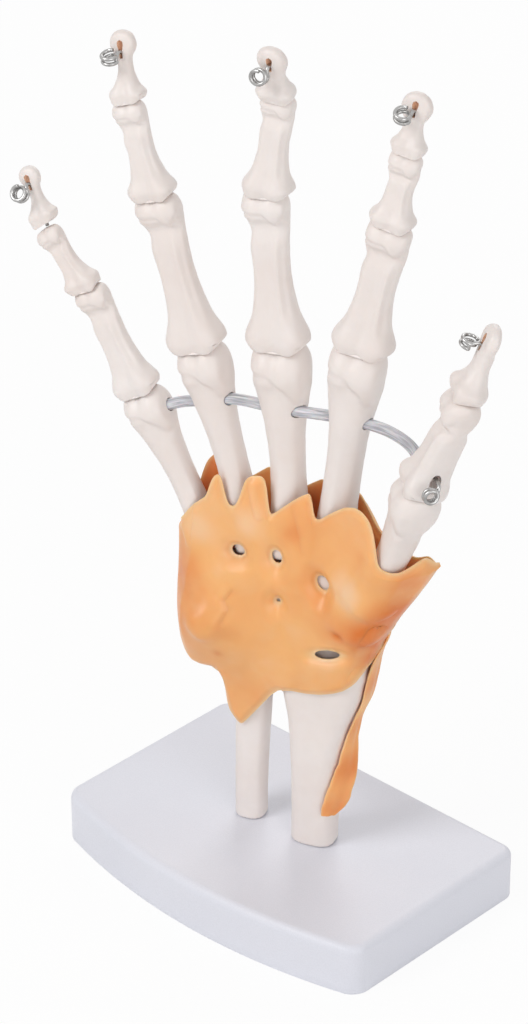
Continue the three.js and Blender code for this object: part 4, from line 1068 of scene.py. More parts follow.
def add_finger(name, finger, seed):
    """Strings a finger: each bone stands on the joint of the one before."""
    at, previous, hinge_line = spot(*finger["root"]), 0, np.zeros(3)
    for number, (kind, sizes) in enumerate(finger["bones"].items()):
        palm_bone = kind == "metacarpal"
        body = "hand" if palm_bone else f"{name}_{kind}"
        place = place_of(at, sizes["splay"], sizes["tilt"], finger["facing"])
        cup = previous + JOINT_GAP + sizes.get("slack", 0)
        (points, faces), wire, joint = bone_and_wire(
            kind, sizes, previous + WIRE_FROM, cup, place[1] @ hinge_line, seed + number)
        points = laid(points, place)
        piece = new_object(f"bone_{name}_{kind}", points, faces, bone_finish)
        if palm_bone:
            bones_under_sheets.append((points, faces))
            cut(piece, tube("cord_drill", cord_path, CORD_RADIUS + 0.3, 24, bone_finish))
        if kind == "distal":
            slot_end = cup + sizes["length"] * SLOT_TO
            cut(piece, drop_tool("drop", joint + SLOT_FROM, slot_end, place), True)
        if "knuckle" in sizes:
            add_knuckle_curl(piece, sizes, cup, place, body)
        settle(piece, body, f"{name}_{kind}" if palm_bone else f"{body}_phalanx")
        add_wire(f"wire_{name}_{kind}", f"{name}_{kind}_wire", wire, place, body)
        at = laid([(0, joint, 0)], place)[0]
        hinge_line, previous = place[1][0], sizes["radius"]


for number, (name, finger) in enumerate(FINGERS.items()):
    add_finger(name, finger, 10 * number)
print("fingers:", len(FINGERS))

# %% [markdown]
# ## The cord
# The cord is one tube along the path that was drilled, a little thinner than its holes.

# %% The cord
settle(tube("cord_metacarpal", cord_path, CORD_RADIUS, 28, cord_finish),
       "hand", "metacarpal_cord")
print("cord:", 2 * CORD_RADIUS, "mm thick")

# %% [markdown]
# ## The wrist bones
# Eight pebbles, each a different outline, lie in two rows under the ligaments and show only
# through the openings. The near row is rounded off round the line that the wrist bends about.

# %% The wrist bones
PEBBLE_SIDES, PEBBLE_BLUR, PEBBLE_GAP = 72, 26, 0.35
PEA_HALVES, PEA_PLACE = (4.6, 5.2, 4.4), spot(-24.6, 11.4, -1.5)
# Each bone's depth at its back and at its palm side, and its outline seen from the palm
WRIST_BONES = {
    "scaphoid": (-7.5, 7.5, [(2, 0.6), (3.4, 7.2), (10, 4.2), (18.4, -0.6), (24, -1.4), (24.4, -7),
                             (16, -12), (5.4, -13), (2.6, -8)]),
    "lunate": (-8, 8.5, [(1.4, -0.2), (1.9, -7.6), (4.6, -13), (-9.6, -12.6), (-11, -7), (-10.8, 0),
                         (-5, -2.6)]),
    "triquetrum": (-7.5, 6, [(-11.6, -0.4), (-11.8, -7), (-16, -10.6), (-27, -8), (-31, -1),
                             (-30, 4.4), (-18, -2)]),
    "trapezium": (-2, 12.5, [(15.6, 16.2), (29.4, 10.2), (28, 2), (20, 0.2), (12, 5),
                             (15.2, 11.8)]),
    "trapezoid": (-8, 6.5, [(3.4, 18.2), (3.6, 20), (14.4, 20.2), (14.6, 12.4), (10.8, 5.6),
                            (3.2, 8.6)]),
    "capitate": (-9.5, 7, [(-9.8, 16.8), (2.6, 17.2), (2.4, 8.6), (0.8, 1.4), (-5, -1.4),
                           (-10.4, 1.4)]),
    "hamate": (-8, 9.5, [(-32, 13), (-10.6, 16.2), (-11.2, 1), (-18, -0.8), (-30, 5.6)]),
}


def barrel_radius(across):
    """How far from the wrist's line its lower bones' round side lies."""
    return 12.6 - 0.0082 * (across + 1) ** 2


def inside_barrel(points):
    """Draws points below the wrist's line back inside the barrel."""
    distance = np.hypot(points[:, 1], points[:, 2])
    most = barrel_radius(points[:, 0])
    scale = np.where((points[:, 2] < 0) & (distance > most), most / np.maximum(distance, 1e-6), 1)
    return points * xyz(1, scale, scale)


def closed_curve(corners, count, blur):
    """A smooth closed curve round some corners."""
    corners = np.array([*corners, corners[0]], float)
    reach = added_up(np.linalg.norm(np.diff(corners, axis=0), axis=1))
    at = np.linspace(0, reach[-1], count, endpoint=False)
    curve = np.stack([np.interp(at, reach, corners[:, k]) for k in (0, 1)], -1)
    for _ in range(blur):
        curve = curve * 0.5 + (np.roll(curve, 1, 0) + np.roll(curve, -1, 0)) * 0.25
    return curve


def pebble(back, palm, corners, seed):
    """The rings of a wrist bone between two depths, rounded off and dented."""
    outline = closed_curve(corners, PEBBLE_SIDES, PEBBLE_BLUR)
    middle = outline.mean(0)
    reach = np.linalg.norm(outline - middle, axis=1, keepdims=True)
    outline = middle + (outline - middle) * (reach - PEBBLE_GAP) / reach
    rings = []
    for t in np.radians(np.linspace(-84, 84, 26)):
        scale = abs(math.cos(t)) ** 0.34
        ring = middle + (outline - middle) * (0.12 + 0.88 * scale)
        level = back + (palm - back) * (0.5 + 0.5 * math.sin(t))
        rings.append(inside_barrel(spot(ring[:, 0], level, ring[:, 1])))
    rings = np.array(rings)
    dents = 0.35 * uneven(rings, 6, seed) - 0.35
    return rings + normals_of(rings, False) * dents[..., None] * 0.6


def add_bone(name, rings, body):
    """A bone under the sheets, whose skin will hold them out."""
    points, faces = skin(rings)
    bones_under_sheets.append((points, faces))
    settle(new_object(f"bone_{name}", points, faces, bone_finish), body, name)


for number, (name, (low, high, corners)) in enumerate(WRIST_BONES.items()):
    add_bone(name, pebble(low, high, corners, number + 60), "hand")

around = full_turn(48)
wide, deep, high = PEA_HALVES
pea = np.array([xyz(wide * math.cos(t) * np.cos(around), deep * math.cos(t) * np.sin(around),
                    high * math.sin(t)) for t in np.radians(np.linspace(-86, 86, 24))])
add_bone("pisiform", pea * (0.975 + 0.025 * uneven(pea, 4, 71))[..., None] + PEA_PLACE, "hand")
print("wrist bones:", len(WRIST_BONES) + 1)

# %% [markdown]
# ## The forearm bones
# The lower ends of the radius and the ulna are sawn off flat and stand on the stand. The
# radius is boxy, with a flat front and a ridge along its thumb side, and flares to a hollow
# that takes the wrist bones. The ulna is slimmer and rounder.

# %% The forearm bones
STAND_HIGH = 16.6
FOOT = STAND_HIGH + 0.3 - HAND_PLACE[2]
# The rings of the sawn face: their share of its size, and how high its edge rounds
SAWN_FACE = ((0.05, 0), (0.6, 0), (0.93, 0), (0.97, 0.08))
# Sections of the bones: up, across, to the palm, half width and half depth
RADIUS_ROWS = [(FOOT, 5.6, 2.7, 6.8, 5.6), (-63.1, 5.8, 2.6, 6.9, 5.9), (-47.1, 6.2, 2.4, 7.6, 6.4),
               (-33.1, 7.2, 2, 9.6, 7.2), (-23.1, 8, 1.4, 12.2, 8.4), (-16.1, 8.5, 0.6, 13.4, 9.2)]
ULNA_ROWS = [(FOOT, -17, -1.9, 4.6, 4.6), (-61.1, -16.9, -1.9, 4.7, 4.7), (-45.1, -16.4, -2, 5, 5),
             (-29.1, -15.8, -2, 5.6, 5.6), (-20.1, -15.4, -2, 6.8, 7)]


def forearm_bone(rows, gap, square, shape, seed):
    """The rings of a forearm bone, from its sawn foot to its hollow end under the wrist."""
    up, across, palm, half, depth = rows[-1]

    def level_ring(up, half, depth, across, palm):
        ring = section(up, half, depth, depth, square, 2.5, across, palm)
        return spot(ring[:, 0], ring[:, 2], ring[:, 1])

    def on_barrel(scale, lift):
        ring = level_ring(0, half * scale, depth * scale, across, palm)
        far = np.maximum((barrel_radius(ring[:, 0]) + gap) ** 2 - ring[:, 1] ** 2, 0)
        ring[:, 2] = -np.sqrt(far) - lift
        return ring

    rings = [level_ring(up, half, depth, across, palm)
             for up, across, palm, half, depth in smooth_rows(rows, 66)]
    low, rim = rings[-1], on_barrel(0.97, 0.9)
    for t in np.linspace(0, 1, 10)[1:]:
        ring = low + (rim - low) * t
        ring[:, :2] = (low + (rim - low) * (1 - math.cos(t * math.pi / 2)))[:, :2]
        rings.append(ring)
    rings += [on_barrel(scale, 0.9 * max(0, (scale - 0.86) / 0.11) ** 2)
              for scale in (0.95, 0.92, 0.88)]
    rings += [on_barrel(scale, 0) for scale in np.linspace(0.86, 0.03, 14)]
    foot = rings[0].mean(0)
    face = [foot + (rings[0] - foot) * [s, s, 1] + [0, 0, z] for s, z in SAWN_FACE]
    rings[0] = rings[0] + [0, 0, 0.5]
    rings = np.array([*face, *rings])
    normal = normals_of(rings, False)
    push = (shape((rings[..., 0] - across) / half, rings[..., 2], -normal[..., 1])
            + 0.12 * uneven(rings, 5, seed) + 0.05 * uneven(rings, 1.8, seed + 3))
    level = rings[..., 2]
    keep = step_up(level, FOOT + 0.4, FOOT + 3) * step_down(level, up - 1, up + 1)
    return rings + normal * (push * keep)[..., None]


def radius_shape(u, up, palm_face):
    """A hollow and a ridge on the palm side, a knob and a groove for tendons at the back."""
    front, rear = step_up(palm_face, 0.3, 0.8), step_up(-palm_face, 0.2, 0.7)
    hollow = -0.9 * hump(u, -0.05, 0.5) * hump(up, -27, 11) * front
    ridge = (0.55 * hump(u, 0.42 + 0.008 * (up + 60), 0.12) * front
             * step_up(up, -62, -50) * step_down(up, -30, -20))
    knob = 1.1 * hump(u, 0.1, 0.17) * hump(up, -19, 6) * rear
    groove = -0.5 * hump(u, 0.36, 0.12) * hump(up, -19, 7) * rear
    return hollow + ridge + knob + groove


def ulna_shape(u, up, palm_face):
    """A flat on the palm side with a ridge beside it."""
    below = step_down(up, -34, -24)
    flat = -0.35 * step_up(palm_face, 0.7, 1) * below
    return flat + 0.3 * hump(u, 0.75, 0.2) * step_up(palm_face, 0.1, 0.5) * below


for name, rows, gap, square, shape in (("radius", RADIUS_ROWS, 0.6, 3.0, radius_shape),
                                       ("ulna", ULNA_ROWS, 1.6, 2.5, ulna_shape)):
    add_bone(name, forearm_bone(rows, gap, square, shape, 80 + len(name)), "root")
print("forearm bones reach", round(-FOOT, 1), "mm below the wrist's line")

# %% [markdown]
# ## The stand
# A moulded slab with soft edges, hollow underneath and closed by a flat cover, which hides
# two screws that hold the forearm bones. A cube with a Bevel would give straight sides; this
# outline has a bowed front, so the same outline is drawn at several insets and skinned.

# %% The stand
STAND_LENGTH, STAND_WIDTH, STAND_BOW, CORNER, FILLET = 120, 70.5, 9.2, 4.5, 2.6
TOP_INSETS = (12, 5, 3.2)
# Inset and height from the rounded edge down the side, round the underside and up inside
LOWER_RINGS = ((0, 9), (0, 3), (0, 0.5), (0.12, 0.15), (0.4, 0), (2.4, 0), (2.4, 2.3), (3.9, 2.3),
               (3.9, 13.6))
BOSS_RADIUS, BOSS_LEVELS = 5, (-86, -85.9, -77.6, -77.5)


def stand_ring(inset, z):
    """The stand's outline with its bowed front, drawn in by an inset."""
    half, deep = STAND_LENGTH / 2 - inset, STAND_WIDTH / 2 - inset
    corner = max(CORNER - inset, 1)
    points = []
    for sign_x, sign_y, start in ((1, 1, 0), (-1, 1, 90), (-1, -1, 180), (1, -1, 270)):
        for angle in np.radians(np.linspace(start, start + 90, 13)):
            points.append((sign_x * (half - corner) + corner * math.cos(angle),
                           sign_y * (deep - corner) + corner * math.sin(angle)))
        if start == 180:
            points += [((half - corner) * t, -deep) for t in np.linspace(-1, 1, 42)[1:-1]]
    x, y = np.array(points).T
    bow = STAND_BOW * step_up(-y, 0, STAND_WIDTH / 2 - CORNER) * (1 - (x / (STAND_LENGTH / 2)) ** 2)
    return xyz(x, y - bow, z)


rings = [stand_ring(inset, STAND_HIGH) for inset in TOP_INSETS]
for t in np.radians(np.linspace(90, 0, 10)):
    rings.append(stand_ring(FILLET * (1 - math.cos(t)), STAND_HIGH - FILLET * (1 - math.sin(t))))
rings += [stand_ring(inset, z) for inset, z in LOWER_RINGS]
bodies = [skin(turned(np.array(rings) - HAND_PLACE, -HAND_TURN))]
for rows in (RADIUS_ROWS, ULNA_ROWS):
    _, across, palm = rows[0][:3]
    bodies.append(skin([xyz(BOSS_RADIUS * np.cos(around) + across,
                            BOSS_RADIUS * np.sin(around) - palm, z) for z in BOSS_LEVELS]))
settle(new_object("stand", *joined(bodies), stand_finish), "root", "stand_shell")
for node, finish in (("stand_cover", stand_finish), ("radius_stand_screw", steel_finish),
                     ("ulna_stand_screw", steel_finish)):
    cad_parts[node].data.materials.clear()
    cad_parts[node].data.materials.append(finish)
print("stand:", STAND_LENGTH, "mm long and", STAND_HIGH, "mm high")

# %% [markdown]
# ## The ligament rubber
# The ligaments are cast in a soft orange rubber that lets some light in: paler and peachy
# where it is stretched over a bone, deep orange where it is thick, and nearly cream where its
# edge thins out. Some tones are painted light and shade: deeper in creases and paler on
# ridges, deep orange on the thumb side at the wrist partly as painted shade, and on the back
# sheet painted shade at its upper end and painted light beside the index finger. Those tones
# belong to places on the sheet, so the sheet's maker stores them for each point, and the
# finish adds clouds and a faint wet sheen.

# %% The ligament rubber
def rubber():
    """Orange rubber, in tones that the sheet stores for each of its points."""
    material, nodes, shader = new_finish(
        "ligament_orange", Subsurface_Weight=0.3, Subsurface_Scale=0.004, IOR=1.45,
        Coat_Weight=0.12, Coat_Roughness=0.2)
    shader.inputs["Subsurface Radius"].default_value = (1.0, 0.45, 0.2)
    where = nodes.places()
    tone, rim = (nodes.stored(name, 2) for name in ("tone", "rim"))
    clouds = nodes.grain(where, 42, 3, 0.3)
    level = tone + (clouds - 0.5) * 0.5
    base = colour(245, 177, 112)
    for share, other in (
            (nodes.ramp(level, (0.5, 0), (1.0, 1)), colour(252, 212, 178)),
            (nodes.ramp(level, (0.0, 1), (0.48, 0)), colour(220, 116, 38)),
            (nodes.patches(where, 75, 3, 0.5, 0.75) * 0.3, colour(240, 196, 150)),
            (rim, colour(246, 216, 180))):
        base = nodes.mix(share, base, other)
    bumps = (nodes.grain(where, 240, 3, 0.5) * 0.5 + nodes.grain(where, 1000, 2) * 0.12
             + clouds * 0.4)
    set_skin(nodes, shader, base, 0.34 + clouds * 0.12, bumps, 0.00035, 0.35)
    return material


rubber_finish = rubber()

# %% [markdown]
# ## How far out the bones reach
# A sheet of rubber lies on what is under it and spans the hollows. A cloth simulation could
# drape it, but this rubber was cast to its shape, so rays measure how far out the bones
# reach, seen straight from the palm and from the back, and that map is widened and blurred
# as stretched rubber would be.

# %% How far out the bones reach
STEP = 0.8  # the size of the map's cells, in mm
COLUMNS = np.arange(-46, 50, STEP)
ROWS = np.arange(-68, 62, STEP)
NOTHING, LEAST = -30.0, -4  # where no bone is, and the least height that counts
RAY_START = 60
bones_tree = BVHTree.FromPolygons(*joined(bones_under_sheets))


def reach_map(side):
    """How far out the bones reach to the palm (side 1) or to the back (-1)."""
    reach = np.full((len(COLUMNS), len(ROWS)), NOTHING)
    for i, across in enumerate(COLUMNS):
        for j, up in enumerate(ROWS):
            start = Vector((across, -RAY_START * side, up))
            hit = bones_tree.ray_cast(start, Vector((0, side, 0)))[0]
            if hit is not None:
                reach[i, j] = -side * hit.y
    return reach


def widened(grid, radius, slope=0.0):
    """Each cell takes the highest value within a radius, less a slope for its distance."""
    cells = int(math.ceil(radius / STEP))
    padded = np.pad(grid, cells, mode="edge")
    best = grid.copy()
    for i in range(-cells, cells + 1):
        for j in range(-cells, cells + 1):
            far = math.hypot(i, j) * STEP
            if far <= radius + 1e-6:
                part = padded[cells + i:, cells + j:][:grid.shape[0], :grid.shape[1]]
                best = np.maximum(best, part - slope * far)
    return best


def filled_in(grid, out, back):
    """The grid with its hollows filled: widened, then drawn back in."""
    return -widened(-widened(grid, out), back)


def smoothed(line, step, blur, cells):
    """A line of values, each averaged with its neighbours under a bell curve."""
    weights = np.exp(-0.5 * (np.arange(-cells, cells + 1) * step / blur) ** 2)
    return np.convolve(np.pad(line, cells, mode="edge"), weights / weights.sum(), "valid")


def blurred(grid, radius):
    """The grid, smoothed both ways."""
    cells = int(math.ceil(2.5 * radius / STEP))
    for axis in (0, 1):
        grid = np.apply_along_axis(smoothed, axis, grid, STEP, radius, cells)
    return grid


def sampled(grid, across, up):
    """The grid's values at places between its cells."""
    x = np.clip((across - COLUMNS[0]) / STEP, 0, len(COLUMNS) - 1.001)
    y = np.clip((up - ROWS[0]) / STEP, 0, len(ROWS) - 1.001)
    i, j = x.astype(int), y.astype(int)
    s, t = x - i, y - j
    return ((1 - s) * (1 - t) * grid[i, j] + s * (1 - t) * grid[i + 1, j]
            + (1 - s) * t * grid[i, j + 1] + s * t * grid[i + 1, j + 1])


hard = {side: np.maximum(reach_map(side), LEAST) for side in (1, -1)}
print("bones measured:", hard[1].shape, "places on each side")

# %% [markdown]
# ## The edges of the sheets
# The sheets meet in a seam along both sides of the wrist. Their edges climb the metacarpals
# and hang in lobes over the forearm. All of it is listed here as it lies on the hand, across
# and up in millimetres, because a list is easier to set against a photograph than a mesh is.

# %% The edges of the sheets
LEFT, RIGHT = -37.5, 43.2
PALM_TOP = [
    (-38.6, 20), (-37, 24), (-35, 26.9), (-32.3, 31), (-29.1, 34.1), (-27.2, 35.6),
    (-26.5, 38.3), (-25.9, 40.8), (-24.9, 42.6), (-23.5, 43.6), (-22.4, 42.6), (-21.8, 38.5),
    (-20.6, 34.6), (-19.2, 33.9), (-17.9, 34.8), (-16.5, 38.8), (-15.4, 43.1), (-14, 44.7),
    (-12.2, 45.3), (-10.2, 45.6), (-8.7, 44.6), (-8.2, 40), (-8, 34), (-6.4, 34.4),
    (-2.9, 37.7), (-0.2, 40.2), (2.8, 42.5), (4.7, 43.6), (5.6, 43.2), (5.8, 38), (6.4, 36.2),
    (8.2, 36.2), (10.4, 38.2), (13.5, 40.8), (17.2, 43.8), (19.6, 45.2), (21.6, 46.2),
    (24.2, 46.4), (26.4, 45.4), (28, 43), (28.8, 39), (29.2, 33.2), (30, 31.2), (31.4, 30.2),
    (34, 29.5), (36.2, 29.9), (38.4, 31.2), (40.4, 32.8), (41.6, 33), (42.5, 30.5), (43.5, 28)]
PALM_BOTTOM = [
    (-38.6, -15.5), (-37.7, -18), (-36.6, -20.3), (-35, -21.8), (-32.5, -22.6), (-29.5, -22.7),
    (-25.4, -22), (-23.4, -22.6), (-22.8, -26), (-22.6, -32.5), (-22, -35.4), (-20.9, -37.7),
    (-19, -40.2), (-17.7, -41), (-14.9, -37.4), (-10.5, -31.3), (-6.6, -25.9), (-3.4, -22.4),
    (1, -20.8), (5.5, -20.5), (10, -19.7), (14.4, -18.2), (17.7, -16.5), (20.2, -14.3),
    (21.8, -11.3), (24, -7.6), (27, -0.9), (32, 8.2), (36.4, 15.2), (40.5, 22), (43.5, 27.6)]
BACK_TOP = [
    (-38.6, 20), (-36, 26), (-33.5, 34), (-31.5, 41), (-29, 44), (-26, 41), (-22, 36),
    (-18, 38), (-13, 42), (-9, 36), (-4, 36), (3, 41), (7, 38), (11, 39), (15, 39.6), (18, 37),
    (21.9, 32.2), (26, 29), (31, 28), (36, 28), (40, 30), (43.5, 28)]
BACK_BOTTOM = [
    (-38.6, -15.5), (-37.7, -18), (-36.6, -20.3), (-33.5, -22.6), (-26, -27), (-16, -31),
    (-8, -34), (-3, -36), (4, -34), (13, -31), (17.5, -26), (21, -17), (24, -7.8), (27, -0.9),
    (32, 8.2), (36.4, 15.2), (40.5, 22), (43.5, 27.6)]
SEAM = [(-38.6, 0), (0, 0), (24, 2.5), (41, 4)]
# How far towards the thumb the sheets reach at each height
SIDE_REACH = [(-32, 21), (-13.6, 22.6), (-8.6, 24), (-0.3, 27), (9, 32), (15.9, 36.4), (28, 43.2),
              (43, 43.2)]
# How far each sheet stands out at each height
PALM_BULGE = [(-44, 2), (-26, 5), (-12, 8), (8, 9), (23, 7.5), (38, 4.5)]
BACK_BULGE = [(-44, 3), (-26, 6), (-12, 8), (8, 8.6), (23, 7), (38, 4.5)]

# Openings in the palm sheet: across, up, half sizes and turn in degrees
OPENINGS = [
    (-17.2, 20.2, 2, 1.8, 0), (-5, 21, 1.6, 2.1, 10), (9.6, 16.2, 1.8, 2.4, 20),
    (-4.0, 7.4, 0.8, 0.9, 0), (12.3, -5.5, 4.0, 1.5, 14)]
# The sheet dips to the bone round each opening that is narrower than this, and spans the slit
SLIT_WIDE = 3
# Folds: their line, width and height; a negative height is a crease
PALM_FOLDS = [
    ([(-0.8, 38.7), (1.1, 32.6), (3.3, 24.9)], 1.2, -0.5),
    ([(-12.6, 44), (-12.1, 39), (-10.4, 33.5)], 0.9, 1.0),
    ([(-17, 9.1), (-19, 6), (-17.7, 3.6), (-19.3, 0.5)], 0.9, -0.5),
    ([(-18.9, 9.6), (-20.9, 6), (-19.6, 3.4), (-21.2, 0.2)], 0.9, 0.4),
    ([(-20, 33), (-17, 27), (-12, 24)], 1.8, -0.5),
    ([(7, 34.5), (7.6, 28), (6, 22)], 1.8, -0.4), ([(24.6, 31), (21.5, 24), (17, 17)], 2, -0.6),
    ([(16, 3.2), (16.8, 3.2)], 1.4, -1), ([(8.4, -8.8), (12.4, -8.4), (17, -7.4)], 2.2, 0.9),
    ([(-34, 8), (-26, 3), (-16, -5)], 2.2, -0.5),
    ([(-4, 4.5), (0, -3), (4, -12), (3, -19)], 2, -0.4)]
BACK_FOLDS = [
    ([(-26, 40), (-22, 30), (-20, 20)], 1.6, -0.6), ([(7, 38), (6, 28), (3, 20)], 1.6, -0.6),
    ([(17, 37), (20, 32), (24, 29)], 1.0, 1.0),
    ([(-34, 4), (-18, -2), (0, -4), (20, 2)], 2.2, -0.6)]
# Where the rubber is paler (up to 1) or deeper (down to -1): across, up, radius and how much
# Part of this is painted shade: the deep patches on the thumb side, at across 24 to 38, are thick
# rubber and also painted shade where the sheet turns away from the light, and the spot at (16.4,
# 3.2) darkens the short crease there as painted shade.
PALM_TONES_AND_SHADE = [
    (-30, 26, 6.5, 0.45), (-22.5, 14, 4, 0.2), (20, 18.5, 6, 0.75), (-14, 30, 5, 0.4),
    (2, 0, 6, 0.25), (-6, -16, 7, 0.2), (-34, 10, 8, -0.4), (-36, -4, 9, -0.35),
    (27.5, 4, 7.5, -1.05), (33, 14, 6, -0.6), (0, 30, 3.5, -0.3), (16.4, 3.2, 2.2, -0.35),
    (-21.5, -11.4, 1.6, -0.35), (24, -6, 4, -0.6), (38, 26, 5, -0.3),
    *[(x, y, 3.6, 0.35) for x, y, *_ in OPENINGS]]
# Part of this is painted light and shade: the deeper patches at (-30, 38) and (0, 38) are painted
# shade on the upper end of the sheet's inner side, seen between the fingers, and the paler one at
# (18, 36) is painted light that lifts the shade there beside the index finger.
BACK_TONES_AND_SHADE = [
    (-30, 38, 9, -0.5), (18, 36, 7, 0.1), (0, 38, 9, -0.2), (-6, -32, 9, -0.45),
    (-4, 4, 14, 0.35), (24, 10, 9, -0.35), (-30, 0, 10, -0.25)]
SHEET_THICK, SHEET_CREASE = 1.3, 60


def edge_curve(pairs, across, blur=0.5):
    """The height of an edge over the hand, with its corners rounded."""
    x, y = np.array(pairs).T
    fine = np.linspace(x[0], x[-1], 900)
    line = smoothed(np.interp(fine, x, y), fine[1] - fine[0], blur, int(30 * blur) + 9)
    return np.interp(across, fine, line)


def read_off(table, at):
    """A table's value at places between its rows."""
    return np.interp(at, *np.array(table).T)


def line_distance(line, across, up):
    """How far points are from a bent line."""
    best = np.full(across.shape, 1e9)
    for (x0, y0), (x1, y1) in zip(line[:-1], line[1:]):
        length = max((x1 - x0) ** 2 + (y1 - y0) ** 2, 1e-9)
        t = np.clip(((across - x0) * (x1 - x0) + (up - y0) * (y1 - y0)) / length, 0, 1)
        best = np.minimum(best, np.hypot(across - x0 - t * (x1 - x0), up - y0 - t * (y1 - y0)))
    return best


print("edges: palm", len(PALM_TOP), "+", len(PALM_BOTTOM), "points, openings:", len(OPENINGS))

# %% [markdown]
# ## The two sheets
# Each sheet is a fine grid between its lower and upper edge. Openings are left out of the
# grid, and the points round them are drawn onto their rims. The rubber spans the bones, dips
# at the small openings, thins towards every edge and takes its folds last.

# %% The two sheets
ACROSS_STEPS, UP_STEPS, EDGE_POINTS = 200, 120, 170
SPAN, DRAWN_BACK = 14, 13  # the rubber is widened by the first and drawn back by the second
TENT, TENT_SLOPE = 16, 0.55  # how far round a high place the rubber is held up, and its slope
SEAM_OVERLAP = 0.5  # how far each sheet passes the seam, so that no slit shows between them
HEM_FROM, HEM_TO, HEM_REACH = -26, -21, 5  # where the lower edge bends in to the seam


def dome_at(across, up):
    """1 in the middle of the sheets, and round off to 0 at the seams."""
    middle = (LEFT + read_off(SIDE_REACH, up)) / 2
    return (1 - np.minimum(np.abs(across - middle) / (middle - LEFT), 1) ** 3) ** 0.6


def membrane(side, top, bulge):
    """How far out taut rubber lies, spanning the bones, over the whole grid."""
    across, up = np.meshgrid(COLUMNS, ROWS, indexing="ij")
    bones = blurred(widened(hard[side], 1.6), 0.8) + 0.15
    swelling = read_off(bulge, up) * dome_at(across, up)
    swelling = swelling * step_up(edge_curve(top, across) - up, 0, 10)
    out = side * read_off(SEAM, across) + swelling
    out = np.maximum(filled_in(hard[side], SPAN, DRAWN_BACK) + 0.4, out)
    out = np.maximum(out, widened(hard[side], TENT, TENT_SLOPE) + 0.4)
    for radius in (4, 3, 2, 1.2):
        out = np.maximum(blurred(out, radius), bones)
    near = blurred(filled_in(hard[side], 6, 5.5), 1.5) + 0.5
    return blurred(out, 1) + 0.3, bones, near


def flat_grid(top, bottom):
    """The grid laid flat. Its rows follow the wavy edges and calm down between them."""
    s = np.linspace(0, 1, ACROSS_STEPS + 1)
    s = s - 0.06 * np.sin(2 * math.pi * s)
    t = np.linspace(0, 1, UP_STEPS + 1)
    across = np.repeat((LEFT + (RIGHT - LEFT) * s)[:, None], UP_STEPS + 1, 1)
    low, high = edge_curve(bottom, across), edge_curve(top, across)
    calm_low, calm_high = edge_curve(bottom, across, 4), edge_curve(top, across, 4)
    up = low + np.maximum(high - low, 0.3) * t
    calm = (calm_low + (calm_high - calm_low) * t + (high - calm_high) * t**5
            + (low - calm_low) * (1 - t) ** 5)
    return across, up + (calm - up) * step_up(calm_high - calm_low, 14, 30)


def opened(across, up, openings):
    """Draws the points inside the openings onto their rims, and marks them.

    Also measures how far each point is from all openings and from the small ones."""
    inside = np.zeros(across.shape, bool)
    hole_edge = dip_edge = np.full(across.shape, 99.0)
    for x, y, wide, tall, turn in openings:
        cos, sin = math.cos(math.radians(turn)), math.sin(math.radians(turn))
        dx, dy = across - x, up - y
        along, over = (dx * cos + dy * sin) / wide, (dy * cos - dx * sin) / tall
        far = np.maximum(np.hypot(along, over), 1e-6)
        within = far < 1
        across = np.where(within, x + dx / far, across)
        up = np.where(within, y + dy / far, up)
        inside |= within
        beyond = np.maximum(far - 1, 0) * min(wide, tall)
        hole_edge = np.minimum(hole_edge, beyond)
        if wide < SLIT_WIDE:
            dip_edge = np.minimum(dip_edge, beyond)
    return across, up, inside, hole_edge, dip_edge


def draped(side, top, bulge, across, up, low_edge, dip_edge):
    """How far out the sheet lies without its folds, and how far the bones do."""
    seam = side * read_off(SEAM, across)
    dome = dome_at(across, up)
    out, bones, near = (sampled(grid, across, up) for grid in membrane(side, top, bulge))
    hem = step_down(across, HEM_FROM, HEM_TO) * (
        1 - np.sqrt(1 - (1 - np.minimum(low_edge / HEM_REACH, 1)) ** 2))
    close = np.minimum(1, dome * 1.6) * (1 - hem)
    out = seam + (out - seam) * close - SEAM_OVERLAP * step_down(dome, 0, 0.35)
    return near + (out - near) * step_up(dip_edge, 0, 5), bones


def grid_faces(inside):
    """The faces of a sheet's two skins, and of the walls along all their open edges."""
    wide, count = inside.shape[1], inside.size
    i, j = np.meshgrid(np.arange(ACROSS_STEPS), np.arange(UP_STEPS), indexing="ij")
    corner = (i * wide + j).ravel()
    quads = np.stack([corner, corner + wide, corner + wide + 1, corner + 1], -1)
    quads = quads[~inside.ravel()[quads].all(1)]
    edges = {}
    for quad in quads.tolist():
        for a, b in zip(quad, quad[1:] + quad[:1]):
            if (b, a) in edges:
                del edges[(b, a)]
            else:
                edges[(a, b)] = True
    walls = [(a, b, b + count, a + count) for a, b in edges]
    return np.vstack([quads[:, ::-1], quads + count, walls])


